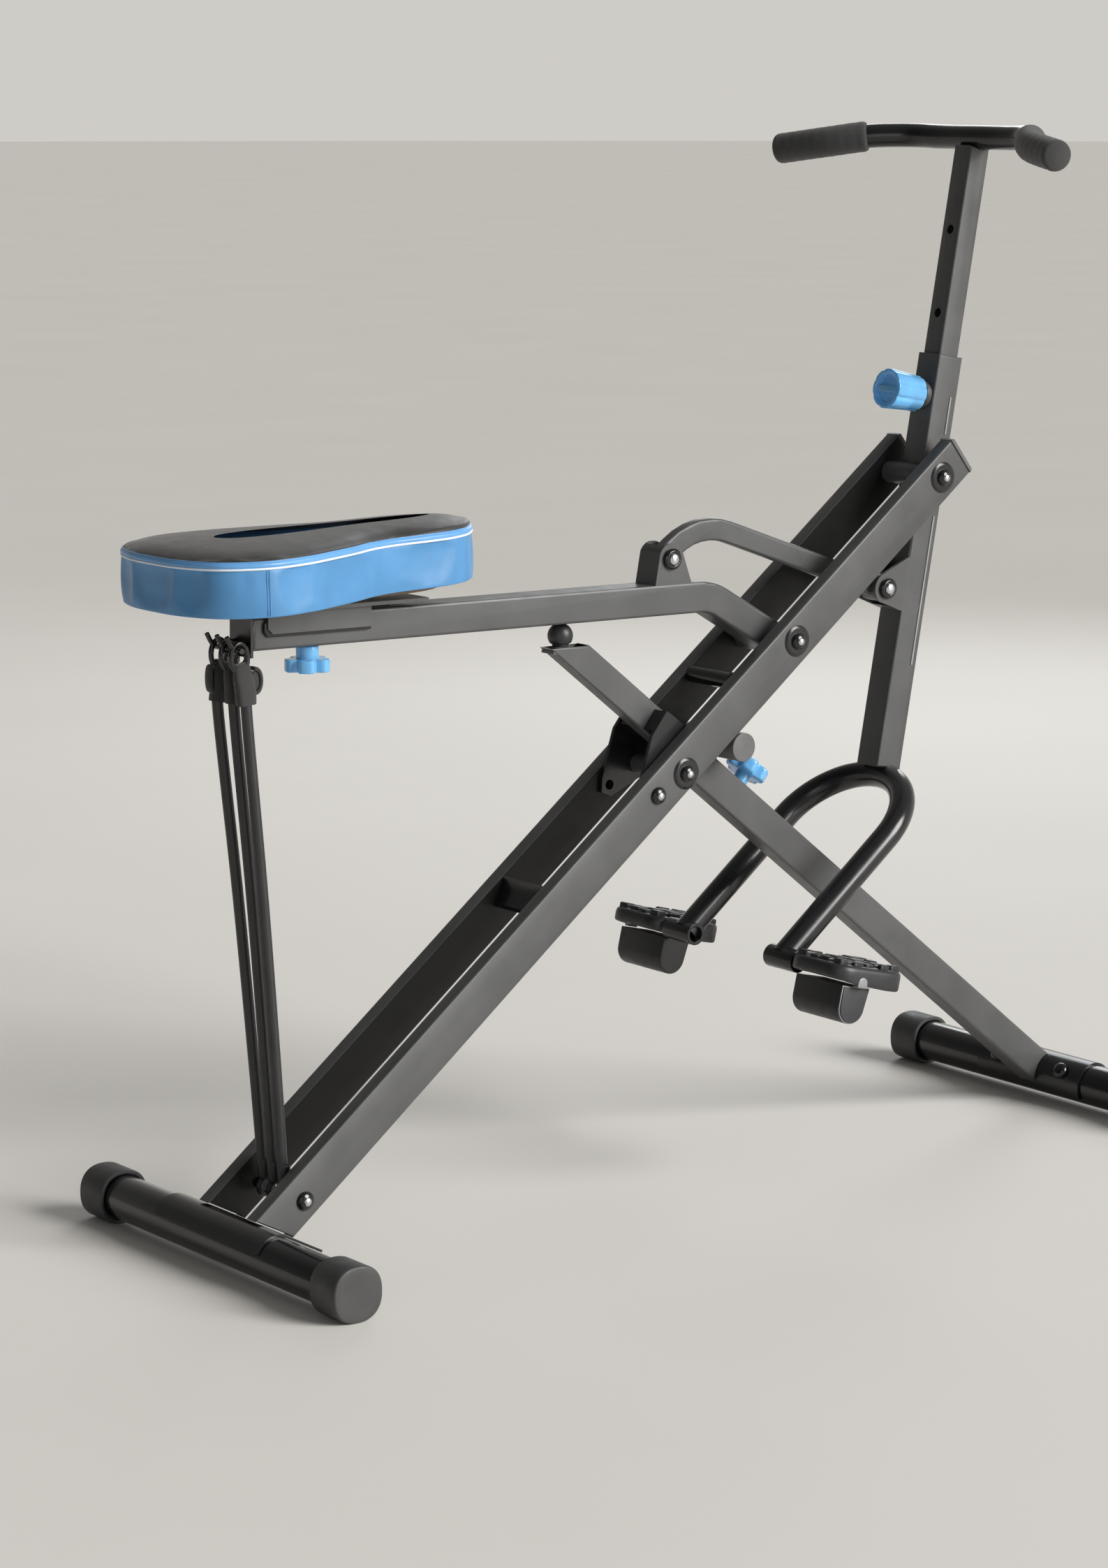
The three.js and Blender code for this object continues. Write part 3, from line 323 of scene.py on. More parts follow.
def noise(material, scale, detail=3.0, stretch=(1, 1, 1), kind="ShaderNodeTexNoise"):
    """A texture in the piece's own metres; stretch scales each axis."""
    nodes, links = material.node_tree.nodes, material.node_tree.links
    place = nodes.new("ShaderNodeTexCoord")
    mapping = nodes.new("ShaderNodeMapping")
    mapping.inputs["Scale"].default_value = stretch
    texture = nodes.new(kind)
    texture.inputs["Scale"].default_value = scale
    if "Detail" in texture.inputs:
        texture.inputs["Detail"].default_value = detail
    links.new(place.outputs["Object"], mapping.inputs["Vector"])
    links.new(mapping.outputs["Vector"], texture.inputs["Vector"])
    return texture.outputs["Distance" if kind == "ShaderNodeTexVoronoi" else 0]


def shade(material, factor, low, high):
    """Colour from low to high over the factor's middle range."""
    nodes, links = material.node_tree.nodes, material.node_tree.links
    ramp = nodes.new("ShaderNodeValToRGB")
    ramp.color_ramp.elements[0].position = 0.3
    ramp.color_ramp.elements[1].position = 0.7
    ramp.color_ramp.elements[0].color = (*low, 1)
    ramp.color_ramp.elements[1].color = (*high, 1)
    links.new(factor, ramp.inputs["Fac"])
    links.new(ramp.outputs["Color"], nodes["Principled BSDF"].inputs["Base Color"])


def vary_roughness(material, factor, low, high):
    nodes, links = material.node_tree.nodes, material.node_tree.links
    spread = nodes.new("ShaderNodeMapRange")
    spread.inputs["From Min"].default_value = 0.3
    spread.inputs["From Max"].default_value = 0.7
    spread.inputs["To Min"].default_value = low
    spread.inputs["To Max"].default_value = high
    links.new(factor, spread.inputs["Value"])
    links.new(spread.outputs["Result"], nodes["Principled BSDF"].inputs["Roughness"])


def relief(material, height, distance, strength=1.0):
    """Adds a bump on top of any that the material has."""
    nodes, links = material.node_tree.nodes, material.node_tree.links
    bump = nodes.new("ShaderNodeBump")
    bump.inputs["Distance"].default_value = distance
    bump.inputs["Strength"].default_value = strength
    links.new(height, bump.inputs["Height"])
    target = nodes["Principled BSDF"].inputs["Normal"]
    if target.is_linked:
        links.new(target.links[0].from_socket, bump.inputs["Normal"])
    links.new(bump.outputs["Normal"], target)


def tint(color, amount):
    return tuple(min(1.0, c * amount) for c in color)


def powder_coat(name, color, roughness, metallic=0.0, texture=0.03 * MM, coat=0.05):
    """Satin paint on steel: a fine orange peel, and a faint drift of tone and gloss."""
    made = principled(name, color, roughness, metallic, Coat_Weight=coat, Coat_Roughness=0.2,
                      Specular_IOR_Level=0.35)
    cloud = noise(made, 14, 4)
    shade(made, cloud, tint(color, 0.88), tint(color, 1.12))
    vary_roughness(made, noise(made, 45, 5), roughness - 0.05, roughness + 0.06)
    relief(made, noise(made, 1400, 2), texture, 0.3)
    relief(made, noise(made, 180, 2), texture, 0.2)
    return made


def paint_inner_shade(material, color, limit):
    """Painted shade: another colour on whatever lies nearer than limit to the machine's middle plane, which
    darkens the rails' inner faces for the shade between the rails.
    """
    nodes, links = material.node_tree.nodes, material.node_tree.links
    place = nodes.new("ShaderNodeTexCoord")
    split = nodes.new("ShaderNodeSeparateXYZ")
    distance = nodes.new("ShaderNodeMath")
    distance.operation = "ABSOLUTE"
    inside = nodes.new("ShaderNodeMath")
    inside.operation = "LESS_THAN"
    inside.inputs[1].default_value = limit
    mix = nodes.new("ShaderNodeMix")
    mix.data_type = "RGBA"
    target = nodes["Principled BSDF"].inputs["Base Color"]
    links.new(place.outputs["Object"], split.inputs["Vector"])
    links.new(split.outputs["Y"], distance.inputs[0])
    links.new(distance.outputs[0], inside.inputs[0])
    links.new(inside.outputs[0], mix.inputs["Factor"])
    links.new(target.links[0].from_socket, mix.inputs["A"])
    mix.inputs["B"].default_value = (*color, 1)
    links.new(mix.outputs["Result"], target)


def moulded(name, color, roughness, grain=0.05 * MM):
    """Moulded plastic or rubber with a fine spark-eroded texture."""
    made = principled(name, color, roughness)
    shade(made, noise(made, 30, 3), tint(color, 0.85), tint(color, 1.15))
    vary_roughness(made, noise(made, 80, 3), roughness - 0.06, roughness + 0.08)
    relief(made, noise(made, 2200, 3), grain, 0.7)
    return made


def grained_vinyl(name, color, roughness, pebble=520, depth=0.12 * MM):
    """Leatherette: pebbled cells with fine creases and a soft sheen."""
    made = principled(name, color, roughness, Sheen_Weight=0.12, Sheen_Roughness=0.4, Coat_Weight=0.06,
                      Coat_Roughness=0.35)
    shade(made, noise(made, 16, 4), tint(color, 0.9), tint(color, 1.1))
    vary_roughness(made, noise(made, 60, 4), roughness - 0.06, roughness + 0.07)
    relief(made, noise(made, pebble, kind="ShaderNodeTexVoronoi"), depth, 0.55)
    relief(made, noise(made, 1500, 3), depth * 0.4, 0.5)
    return made


def woven(name, color, pitch):
    """Flat webbing: ribs across it and a finer twill along it."""
    made = principled(name, color, 0.72, Sheen_Weight=0.35, Sheen_Roughness=0.45)
    nodes, links = made.node_tree.nodes, made.node_tree.links
    place = nodes.new("ShaderNodeTexCoord")
    height = None
    for axis in ("X", "Z"):
        wave = nodes.new("ShaderNodeTexWave")
        wave.wave_type = "BANDS"
        wave.bands_direction = axis
        wave.inputs["Scale"].default_value = 1 / pitch / 3.2
        wave.inputs["Distortion"].default_value = 0.4
        links.new(place.outputs["Object"], wave.inputs["Vector"])
        if height is None:
            height = wave.outputs["Fac"]
        else:
            both = nodes.new("ShaderNodeMath")
            both.operation = "MULTIPLY"
            links.new(height, both.inputs[0])
            links.new(wave.outputs["Fac"], both.inputs[1])
            height = both.outputs[0]
    shade(made, height, tint(color, 0.6), tint(color, 1.5))
    relief(made, height, 0.25 * MM, 0.8)
    return made


def clear_blue(name, color):
    """Tinted translucent plastic with a polished skin."""
    made = principled(name, color, 0.16, IOR=1.46, Transmission_Weight=0.3, Coat_Weight=0.4,
                      Coat_Roughness=0.06, Subsurface_Weight=0.35, Subsurface_Scale=0.01)
    made.node_tree.nodes["Principled BSDF"].inputs["Subsurface Radius"].default_value = (0.4, 0.7, 1.0)
    shade(made, noise(made, 40, 2), tint(color, 0.9), tint(color, 1.08))
    vary_roughness(made, noise(made, 120, 2), 0.12, 0.2)
    relief(made, noise(made, 500, 2), 0.02 * MM, 0.4)
    return made


def foam_rubber(name, color):
    made = principled(name, color, 0.88, Sheen_Weight=0.2, Sheen_Roughness=0.6)
    shade(made, noise(made, 900, 2), tint(color, 0.7), tint(color, 1.35))
    relief(made, noise(made, 1200, kind="ShaderNodeTexVoronoi"), 0.25 * MM, 0.8)
    relief(made, noise(made, 90, 3), 0.4 * MM, 0.3)
    return made


def plywood(name, color):
    made = principled(name, color, 0.62)
    grain = noise(made, 60, 6, (1, 8, 30))
    shade(made, grain, tint(color, 0.7), tint(color, 1.2))
    relief(made, grain, 0.1 * MM, 0.5)
    return made


def zinc(name, color):
    made = principled(name, color, 0.28, 1.0)
    shade(made, noise(made, 300, 3), tint(color, 0.85), tint(color, 1.1))
    vary_roughness(made, noise(made, 220, 4), 0.2, 0.38)
    relief(made, noise(made, 900, 2), 0.02 * MM, 0.4)
    return made


GREY_STEEL = powder_coat("grey_powder_coat", (0.095, 0.096, 0.097), 0.42, 0.35)
# Rail paint: the same grey powder coat, with its inner faces painted near black as painted shade between the two
# rails.
RAIL_STEEL_INNER_SHADE = powder_coat("rail_powder_coat_inner_shade", (0.095, 0.096, 0.097), 0.42, 0.35)
paint_inner_shade(RAIL_STEEL_INNER_SHADE, (0.010, 0.010, 0.010), RAIL_INNER_FACE)
# A lighter grey than the frame's paint: painted highlight along the post's weld lines and the pedals' end rims.
PAINTED_HIGHLIGHT_GREY = powder_coat("light_grey_painted_highlight", (0.30, 0.30, 0.305), 0.34, 0.35)
BLACK_STEEL = powder_coat("black_powder_coat", (0.013, 0.013, 0.014), 0.24, 0.1, 0.02 * MM, 0.35)
GLOSS_STEEL = powder_coat("black_gloss_enamel", (0.009, 0.009, 0.010), 0.13, 0.1, 0.008 * MM, 0.5)
BLACK_PLASTIC = moulded("black_moulded_plastic", (0.050, 0.050, 0.051), 0.5)
GREY_PLASTIC = moulded("grey_moulded_plastic", (0.105, 0.105, 0.107), 0.44)
BLACK_RUBBER = moulded("black_tread_rubber", (0.022, 0.022, 0.024), 0.40, 0.08 * MM)
HOUSING_PLASTIC = moulded("black_housing_plastic", (0.012, 0.012, 0.013), 0.42)
COVER_PLASTIC = moulded("dark_cover_plastic", (0.030, 0.031, 0.034), 0.45)
BAND_RUBBER = moulded("band_rubber", (0.020, 0.020, 0.021), 0.40, 0.02 * MM)
VINYL_BLACK = grained_vinyl("black_vinyl", (0.030, 0.030, 0.030), 0.46)
VINYL_BLUE = grained_vinyl("blue_vinyl", (0.070, 0.24, 0.48), 0.46)
VINYL_ROLL = grained_vinyl("light_blue_vinyl", (0.12, 0.33, 0.64), 0.38)
PIPING_WHITE = grained_vinyl("white_piping", (0.72, 0.78, 0.84), 0.4, 1500, 0.03 * MM)
WEBBING = woven("black_webbing", (0.028, 0.028, 0.028), 1.1 * MM)
BLUE_PLASTIC = clear_blue("blue_translucent_plastic", (0.19, 0.54, 0.94))
FOAM = foam_rubber("black_foam", (0.030, 0.030, 0.031))
# Plywood grain, with its colour darkened well below bare plywood: painted shade under the cushion's edge.
SHADED_PLYWOOD = plywood("seat_plywood_painted_shade", (0.20, 0.135, 0.08))
BRIGHT_STEEL = zinc("zinc_plated_steel", (0.62, 0.63, 0.65))

SLOT_FINISH = {
    "grey_steel": GREY_STEEL, "black_steel": BLACK_STEEL, "gloss_steel": GLOSS_STEEL,
    "black_plastic": BLACK_PLASTIC, "grey_plastic": GREY_PLASTIC,
    "black_rubber": BLACK_RUBBER, "blue_plastic": BLUE_PLASTIC, "vinyl": VINYL_BLACK, "foam": FOAM,
    "board": SHADED_PLYWOOD,
}


# ---------------------------------------------------------------- the CAD nodes that stay
def soften_group():
    """Modifier nodes that weld a faceted mesh and smooth it across edges under 50 degrees."""
    group = bpy.data.node_groups.new("soften", "GeometryNodeTree")
    group.interface.new_socket("Geometry", in_out="INPUT", socket_type="NodeSocketGeometry")
    group.interface.new_socket("Geometry", in_out="OUTPUT", socket_type="NodeSocketGeometry")
    nodes, links = group.nodes, group.links
    start, end = nodes.new("NodeGroupInput"), nodes.new("NodeGroupOutput")
    weld = nodes.new("GeometryNodeMergeByDistance")
    weld.inputs["Distance"].default_value = 1e-5
    angle = nodes.new("GeometryNodeInputMeshEdgeAngle")
    hard = nodes.new("FunctionNodeCompare")
    hard.operation = "GREATER_THAN"
    hard.inputs[1].default_value = math.radians(50)
    round_all = nodes.new("GeometryNodeSetShadeSmooth")
    keep_hard = nodes.new("GeometryNodeSetShadeSmooth")
    keep_hard.domain = "EDGE"
    keep_hard.inputs["Shade Smooth"].default_value = False
    links.new(start.outputs[0], weld.inputs["Geometry"])
    links.new(weld.outputs["Geometry"], round_all.inputs["Geometry"])
    links.new(round_all.outputs["Geometry"], keep_hard.inputs["Geometry"])
    links.new(angle.outputs["Unsigned Angle"], hard.inputs[0])
    links.new(hard.outputs["Result"], keep_hard.inputs["Selection"])
    links.new(keep_hard.outputs["Geometry"], end.inputs[0])
    return group


def dress_cad_nodes():
    soften = soften_group()
    slots = {row["node"]: row["material_slot"] for row in frame["record"]["subparts"]}
    for name, node in frame["nodes"].items():
        node.data.materials.clear()
        # The rails take the paint whose inner faces carry painted shade.
        node.data.materials.append(RAIL_STEEL_INNER_SHADE if name.startswith("rail_left") or name.startswith("rail_right")
                                   else SLOT_FINISH[slots[name]])
        node.modifiers.new("soften", "NODES").node_group = soften
        flat = node.modifiers.new("even_faces", "WEIGHTED_NORMAL")
        flat.keep_sharp = True


# ---------------------------------------------------------------- floor tubes and caps
FOOT_RADIUS = 25 * MM
CAP_RADIUS = 30 * MM
CAP_SQUARENESS = 2.35          # exponent of the cap's rounded-square outline


def add_foot_tube(end, body):
    node = f"{end}_foot_tube"
    low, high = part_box(node)
    centre = middle(node)
    half = (high.y - low.y) / 2
    profile = rounded([(0, -half), (FOOT_RADIUS, -half), (FOOT_RADIUS, half), (0, half)], 1 * MM)
    made = lathe(profile, centre, ACROSS, 72)
    build(f"{end}_foot_tube_skin", *made, GLOSS_STEEL, body, node, "gloss_steel")


def cap_outline(radius, count=72):
    points = []
    for i in range(count):
        angle = 2 * math.pi * i / count
        c, s = math.cos(angle), math.sin(angle)
        reach = radius / (abs(c) ** CAP_SQUARENESS + abs(s) ** CAP_SQUARENESS) ** (1 / CAP_SQUARENESS)
        points.append((reach * c, reach * s))
    return points


def add_foot_cap(end, side, body):
    """A cap slipped over the tube: a rounded-square sleeve with a proud end disc and a rolled mouth."""
    node = f"{end}_foot_cap_{side}"
    low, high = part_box(node)
    outward = 1 if side == "left" else -1
    mouth = low.y if outward > 0 else high.y
    length = high.y - low.y
    place = basis(Vector((middle(node).x, mouth, middle(node).z)), ACROSS * outward)
    outline = cap_outline(CAP_RADIUS)
    levels = [(4.6, 6), (4.4, 0.6), (3.6, 0), (1.2, 0), (0.3, 0.8), (0, 2.2), (0, 30), (0, length / MM - 3),
              (0.4, length / MM - 1.2), (1.4, length / MM - 0.3), (2.6, length / MM), (9, length / MM),
              (18, length / MM - 0.2)]
    rings = []
    for inset, height in levels:
        rings.append([place @ Vector((x * (1 - inset * MM / CAP_RADIUS), y * (1 - inset * MM / CAP_RADIUS),
                                      height * MM)) for x, y in outline])
    build(f"{end}_foot_cap_{side}_skin", *loft(rings), BLACK_PLASTIC, body, node, "black_plastic")


def add_floor_tubes():
    for end, body in (("front", "main_frame"), ("rear", "rear_leg")):
        add_foot_tube(end, body)
        for side in ("left", "right"):
            add_foot_cap(end, side, body)


# ---------------------------------------------------------------- bolts and pins
def dome_profile(radius, height, low=0.0, steps=8):
    """A domed head from its rim up to its top, on the axis."""
    return [(radius * math.cos(math.pi / 2 * i / steps), low + height * math.sin(math.pi / 2 * i / steps))
            for i in range(steps + 1)]


def add_bolt(node, face_y, head, washer):
    """A black domed bolt with a polished tip, on a dished washer where it is a pivot."""
    at = Vector((middle(node).x, face_y, middle(node).z))
    lift = 0.0
    if washer:
        lift = 2.2 * MM
        dish = rounded([(0, 0), (washer, 0), (washer, 0.6 * MM), (washer - 3 * MM, lift), (0, lift)],
                       0.6 * MM)
        build(f"{node}_washer", *lathe(dish, at, BACK, 56), BLACK_STEEL, "main_frame", slot="black_steel")
    rim = [(0, lift - 0.2 * MM), (head, lift - 0.2 * MM), (head, lift + 1.2 * MM)]
    body = rim + dome_profile(head - 0.3 * MM, 5.2 * MM, lift + 1.3 * MM)[1:]
    build(f"{node}_head", *lathe(body, at, BACK, 48), GLOSS_STEEL, "main_frame", node, "gloss_steel")
    top = lift + 1.3 * MM + 4.0 * MM
    tip = [(0, top - 2 * MM), (0.46 * head, top - 2 * MM), *dome_profile(0.46 * head, 2.3 * MM, top)]
    build(f"{node}_tip", *lathe(tip, at, BACK, 32), BRIGHT_STEEL, "main_frame", slot="black_steel")


def add_link_pin(node, body):
    """A pin with a black ring and a polished dome on both sides of its bracket."""
    low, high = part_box(node)
    centre = middle(node)
    shank = lathe([(0, low.y - centre.y + 4 * MM), (4 * MM, low.y - centre.y + 4 * MM),
                   (4 * MM, high.y - centre.y - 4 * MM), (0, high.y - centre.y - 4 * MM)], centre, ACROSS, 24)
    parts = [shank]
    tips = []
    for way, end in ((-1, low.y), (1, high.y)):
        seat = Vector((centre.x, end - way * 9.2 * MM, centre.z))
        ring = rounded([(4 * MM, 0), (12 * MM, 0), (12 * MM, 3.4 * MM), (9.6 * MM, 5.6 * MM),
                        (7 * MM, 5.2 * MM), (7 * MM, 2 * MM), (3.9 * MM, 2 * MM)], 0.9 * MM)
        parts.append(lathe(ring, seat, ACROSS * way, 48))
        tips.append(lathe([(0, 2 * MM), (6.8 * MM, 2 * MM), *dome_profile(6.8 * MM, 3.4 * MM, 4.9 * MM)],
                          seat, ACROSS * way, 40))
    build(f"{node}_ring", *merge(*parts), GLOSS_STEEL, body, node, "black_steel")
    build(f"{node}_dome", *merge(*tips), BRIGHT_STEEL, body, slot="black_steel")


def add_rear_bolt(node):
    """A domed bolt that ties the rear saddle to the floor tube."""
    tube = middle("rear_foot_tube")
    out = (middle(node) - Vector((tube.x, middle(node).y, tube.z))).normalized()
    seat = Vector((tube.x, middle(node).y, tube.z)) + out * 29.5 * MM
    head = [(0, 0), (10 * MM, 0), (10 * MM, 1 * MM), *dome_profile(9.7 * MM, 5.6 * MM, 1.2 * MM)[1:]]
    socket = lathe(head, seat, out, 40)
    build(f"{node}_head", *socket, GLOSS_STEEL, "rear_leg", node, "gloss_steel")


def add_fasteners():
    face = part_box("rail_right")[0].y
    for name, head, washer in (("band_anchor", 10.5, 0), ("stop_bracket", 10, 0), ("leg_pivot", 9.5, 18),
                               ("arm_pivot", 9.5, 18), ("lever_pivot", 9.5, 18)):
        add_bolt(f"{name}_bolt", face, head * MM, washer * MM)
    add_link_pin("link_pin_front", "seat_arm")
    add_link_pin("link_pin_rear", "lever")
    for side in ("left", "right"):
        add_rear_bolt(f"rear_foot_bolt_{side}")


# ---------------------------------------------------------------- seat
SEAT_PLAN = ((0, 0), (4, 50), (24, 96), (66, 121), (116, 118), (161, 103), (192, 91), (226, 75),
             (261, 67), (302, 66), (340, 61), (373, 43), (400, 0))   # millimetres from the front end
SEAT_LOOP = 176
PIPING_HEIGHT = 50 * MM
ROLL_TOP = 57 * MM
SWELL = 5 * MM
CROWN_PASSES = 14
SIDE_SEAM = 0.86                # place of the right-hand seam, as a fraction of the way round


def seat_place():
    low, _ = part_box("seat_cushion")
    return Matrix.Translation(Vector((low.x, 0, low.z))) @ Matrix.Rotation(-SEAT_TILT, 4, "Y")


def seat_outline():
    half = [Vector((x * MM, y * MM, 0)) for x, y in SEAT_PLAN]
    other = [Vector((p.x, -p.y, 0)) for p in reversed(half[1:-1])]
    return curve_points([*half, *other], SEAT_LOOP, closed=True)


def spine_point(point):
    """The point of the cushion's middle line towards which its rings shrink."""
    length = SEAT_PLAN[-1][0] * MM
    return Vector((0.25 * length + 0.6 * point.x, 0, 0))


def seat_rings():
    """(inset, height, share, finish) of each ring: inset from the outline, or share of the way to the
    middle line; finish is the material of the band of faces above the ring."""
    side = [(1.0 - 1.6 * math.sin(math.pi * h / 47), h, 0, 0) for h in (8, 14, 20, 26, 32, 38, 43, 47)]
    hem = [(0, 0, 0.6, 2), (0, 0, 0.3, 2), (9, 0, 0, 2), (2.2, 0, 0, 0), (1.4, 0.4, 0, 0), (1.2, 1.6, 0, 0),
           (1.1, 3, 0, 0)]
    roll = [(1.6, 49.2, 0, 0), (2.6, 50, 0, 1), (1.0, 51.1, 0, 1), (0, 52.8, 0, 1), (0.3, 54.6, 0, 1),
            (1.6, 56.2, 0, 1), (3.4, 57, 0, 2)]
    shoulder = [(3.2, 59.2, 0, 2), (4.6, 62.6, 0, 2), (7.6, 65.8, 0, 2), (12, 68, 0, 2), (18, 69.6, 0, 2)]
    crown = [(0, 71.2, 0.26, 2), (0, 72.4, 0.38, 2), (0, 73.3, 0.52, 2), (0, 74, 0.68, 2),
             (0, 74.4, 0.84, 2), (0, 74.5, 1, 2)]
    return hem + side + roll + shoulder + crown


def close_and_relax(mesh, first):
    """Merges the points that coincide, then smooths the cushion's top from the ring that starts at first.

    The simulation has moved the spine's doubled points apart by then, so with it the top stays open.
    """
    work = bmesh.new()
    work.from_mesh(mesh)
    top = [v for v in work.verts if v.index >= first]
    bmesh.ops.remove_doubles(work, verts=work.verts, dist=2e-5)
    top = [v for v in top if v.is_valid]
    for _ in range(CROWN_PASSES):
        bmesh.ops.smooth_vert(work, verts=top, factor=0.5, use_axis_x=True, use_axis_y=True, use_axis_z=True)
    bmesh.ops.recalc_face_normals(work, faces=work.faces)
    work.to_mesh(mesh)
    work.free()


def cushion_mesh():
    outline, place = seat_outline(), seat_place()
    rings, pinned, finishes = [], [], []
    levels = seat_rings()
    for index, (inset, height, share, finish) in enumerate(levels):
        ring = []
        for point in outline:
            spine = spine_point(point)
            reach = point - spine
            keep = (1 - share) * (1 - inset * MM / max(reach.length, 1e-6))
            at = spine + reach * keep
            ring.append(place @ Vector((at.x, at.y, height * MM)))
        rings.append(ring)
        finishes.append(finish)
        if height <= 3 or height in (50, 57):
            pinned += range(index * SEAT_LOOP, (index + 1) * SEAT_LOOP)
    vertices, faces = loft(rings)
    return vertices, faces[:-1], pinned, finishes


def inflate(piece, pinned):
    """Swells the cushion with cloth pressure between its pinned seams, by SWELL at most."""
    rest = [v.co.copy() for v in piece.data.vertices]
    group = piece.vertex_groups.new(name="seams")
    group.add(pinned, 1.0, "REPLACE")
    cloth = piece.modifiers.new("inflate", "CLOTH")
    settings = cloth.settings
    settings.quality = 6
    settings.mass = 0.25
    settings.tension_stiffness = settings.compression_stiffness = 12
    settings.shear_stiffness = 6
    settings.bending_stiffness = 0.4
    settings.use_pressure = True
    settings.uniform_pressure_force = 5
    settings.vertex_group_mass = "seams"
    settings.effector_weights.gravity = 0
    scene = bpy.context.scene
    for number in range(1, 21):
        scene.frame_set(number)
    shape = piece.evaluated_get(bpy.context.evaluated_depsgraph_get()).to_mesh()
    moved = [v.co.copy() for v in shape.vertices]
    piece.modifiers.clear()
    scene.frame_set(1)
    for vertex, before, after in zip(piece.data.vertices, rest, moved):
        shift = after - before
        vertex.co = before + shift * (min(1, SWELL / shift.length) if shift.length > 1e-9 else 0)
    piece.data.update()


def add_cushion():
    vertices, faces, pinned, finishes = cushion_mesh()
    mesh = bpy.data.meshes.new("seat_cover")
    mesh.from_pydata([tuple(v) for v in vertices], [], faces)
    for finish in (VINYL_BLUE, VINYL_ROLL, VINYL_BLACK):
        mesh.materials.append(finish)
    for index, polygon in enumerate(mesh.polygons):
        polygon.use_smooth = True
        polygon.material_index = finishes[min(index // SEAT_LOOP, len(finishes) - 1)]
    piece = bpy.data.objects.new("seat_cover", mesh)
    bpy.context.scene.collection.objects.link(piece)
    inflate(piece, pinned)
    shoulder = [row[1] for row in seat_rings()].index(65.8)
    close_and_relax(mesh, shoulder * SEAT_LOOP)
    smooth = piece.modifiers.new("smooth", "SUBSURF")
    smooth.levels = smooth.render_levels = 1
    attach(piece, "seat")
    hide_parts("seat_cushion")


def seat_line(height, inset):
    """A closed line round the cushion at a height."""
    place = seat_place()
    line = []
    for point in seat_outline():
        reach = point - spine_point(point)
        at = point - reach.normalized() * inset
        line.append(place @ Vector((at.x, at.y, height)))
    return line


def add_side_seam(way):
    """The upright seam where the side band's two lengths meet, with a pucker on each side."""
    outline, place = seat_outline(), seat_place()
    index = int(SIDE_SEAM * SEAT_LOOP) if way < 0 else int((1 - SIDE_SEAM) * SEAT_LOOP)
    point, ahead = outline[index], outline[index + 1]
    along = (ahead - point).normalized()
    out = (point - spine_point(point)).normalized()
    parts = []
    for shift, radius in ((-1.4, 0.8), (0, 0.45), (1.4, 0.8)):
        line = []
        for i in range(13):
            height = (2 + 46 * i / 12) * MM
            bulge = (1.6 * math.sin(math.pi * height / (47 * MM)) - 1.4) * MM
            at = point + along * shift * MM + out * bulge
            line.append(place @ Vector((at.x, at.y, height)))
        parts.append(sweep(line, radius * MM, 10))
    name = "right" if way < 0 else "left"
    build(f"seat_side_seam_{name}", *merge(*parts), VINYL_BLUE, "seat", slot="vinyl", sharp=80)


# A dark strip that shows along the seat bracket's edges: painted shade for the gap between the bracket and the
# arm.
SHADE_STRIP_START = 40 * MM          # from the bracket's front end
SHADE_STRIP_ENDS = (-3.5 * MM, 131 * MM)
SHADE_STRIP_FOOT = -1.6 * MM         # what shows below the bracket
SHADE_STRIP_TOP = 14 * MM
SHADE_STRIP_FACES = (19.6 * MM, 22.8 * MM)


def add_bracket_shade_strip():
    """A black plastic strip between the seat's bracket and the arm, which shows along the edges as a dark line:
    painted shade for the gap under the bracket.
    """
    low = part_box("seat_bracket")[0]
    slope = Vector(JOINTS["seat_slide"]["axis"])
    front = Vector((low.x + SHADE_STRIP_START, 0, low.z))
    place = side_view(front, math.degrees(math.atan2(slope.z, slope.x)))
    start, end = SHADE_STRIP_ENDS
    outline = fillet([(start, 4 * MM), (1 * MM, SHADE_STRIP_FOOT), (end, SHADE_STRIP_FOOT), (end, SHADE_STRIP_TOP),
                      (start, SHADE_STRIP_TOP)], 2 * MM)
    near, far = SHADE_STRIP_FACES
    for way in (-1, 1):
        inner, outer = (near, far) if way < 0 else (-far, -near)
        strip_mesh = slab(outline, inner, outer, place, 0.3 * MM, 0.3 * MM, 2)
        build(f"seat_painted_shade_strip_{'right' if way < 0 else 'left'}", *strip_mesh, HOUSING_PLASTIC, "seat",
              slot="black_plastic", sharp=35)


def add_seat():
    add_cushion()
    add_bracket_shade_strip()
    piping = sweep(seat_line(PIPING_HEIGHT, 1.3 * MM), 1.25 * MM, 10, closed=True, side=Vector((0, 0, 1)))
    build("seat_piping", *piping, PIPING_WHITE, "seat", slot="vinyl", sharp=80)
    seam = sweep(seat_line(ROLL_TOP, 3.0 * MM), 0.7 * MM, 8, closed=True, side=Vector((0, 0, 1)))
    build("seat_top_seam", *seam, VINYL_ROLL, "seat", slot="vinyl", sharp=80)
    for way in (-1, 1):
        add_side_seam(way)


# ---------------------------------------------------------------- knobs
SEAT_KNOB_TURN = -127.3        # degrees; a notch faces the right-hand front


def star_wave(lobes, depth, turn):
    """Relative radius of a star knob: broad lobes with narrow notches between them."""
    return lambda angle: 1 - depth * (0.5 - 0.5 * math.cos(lobes * (angle - turn))) ** 3


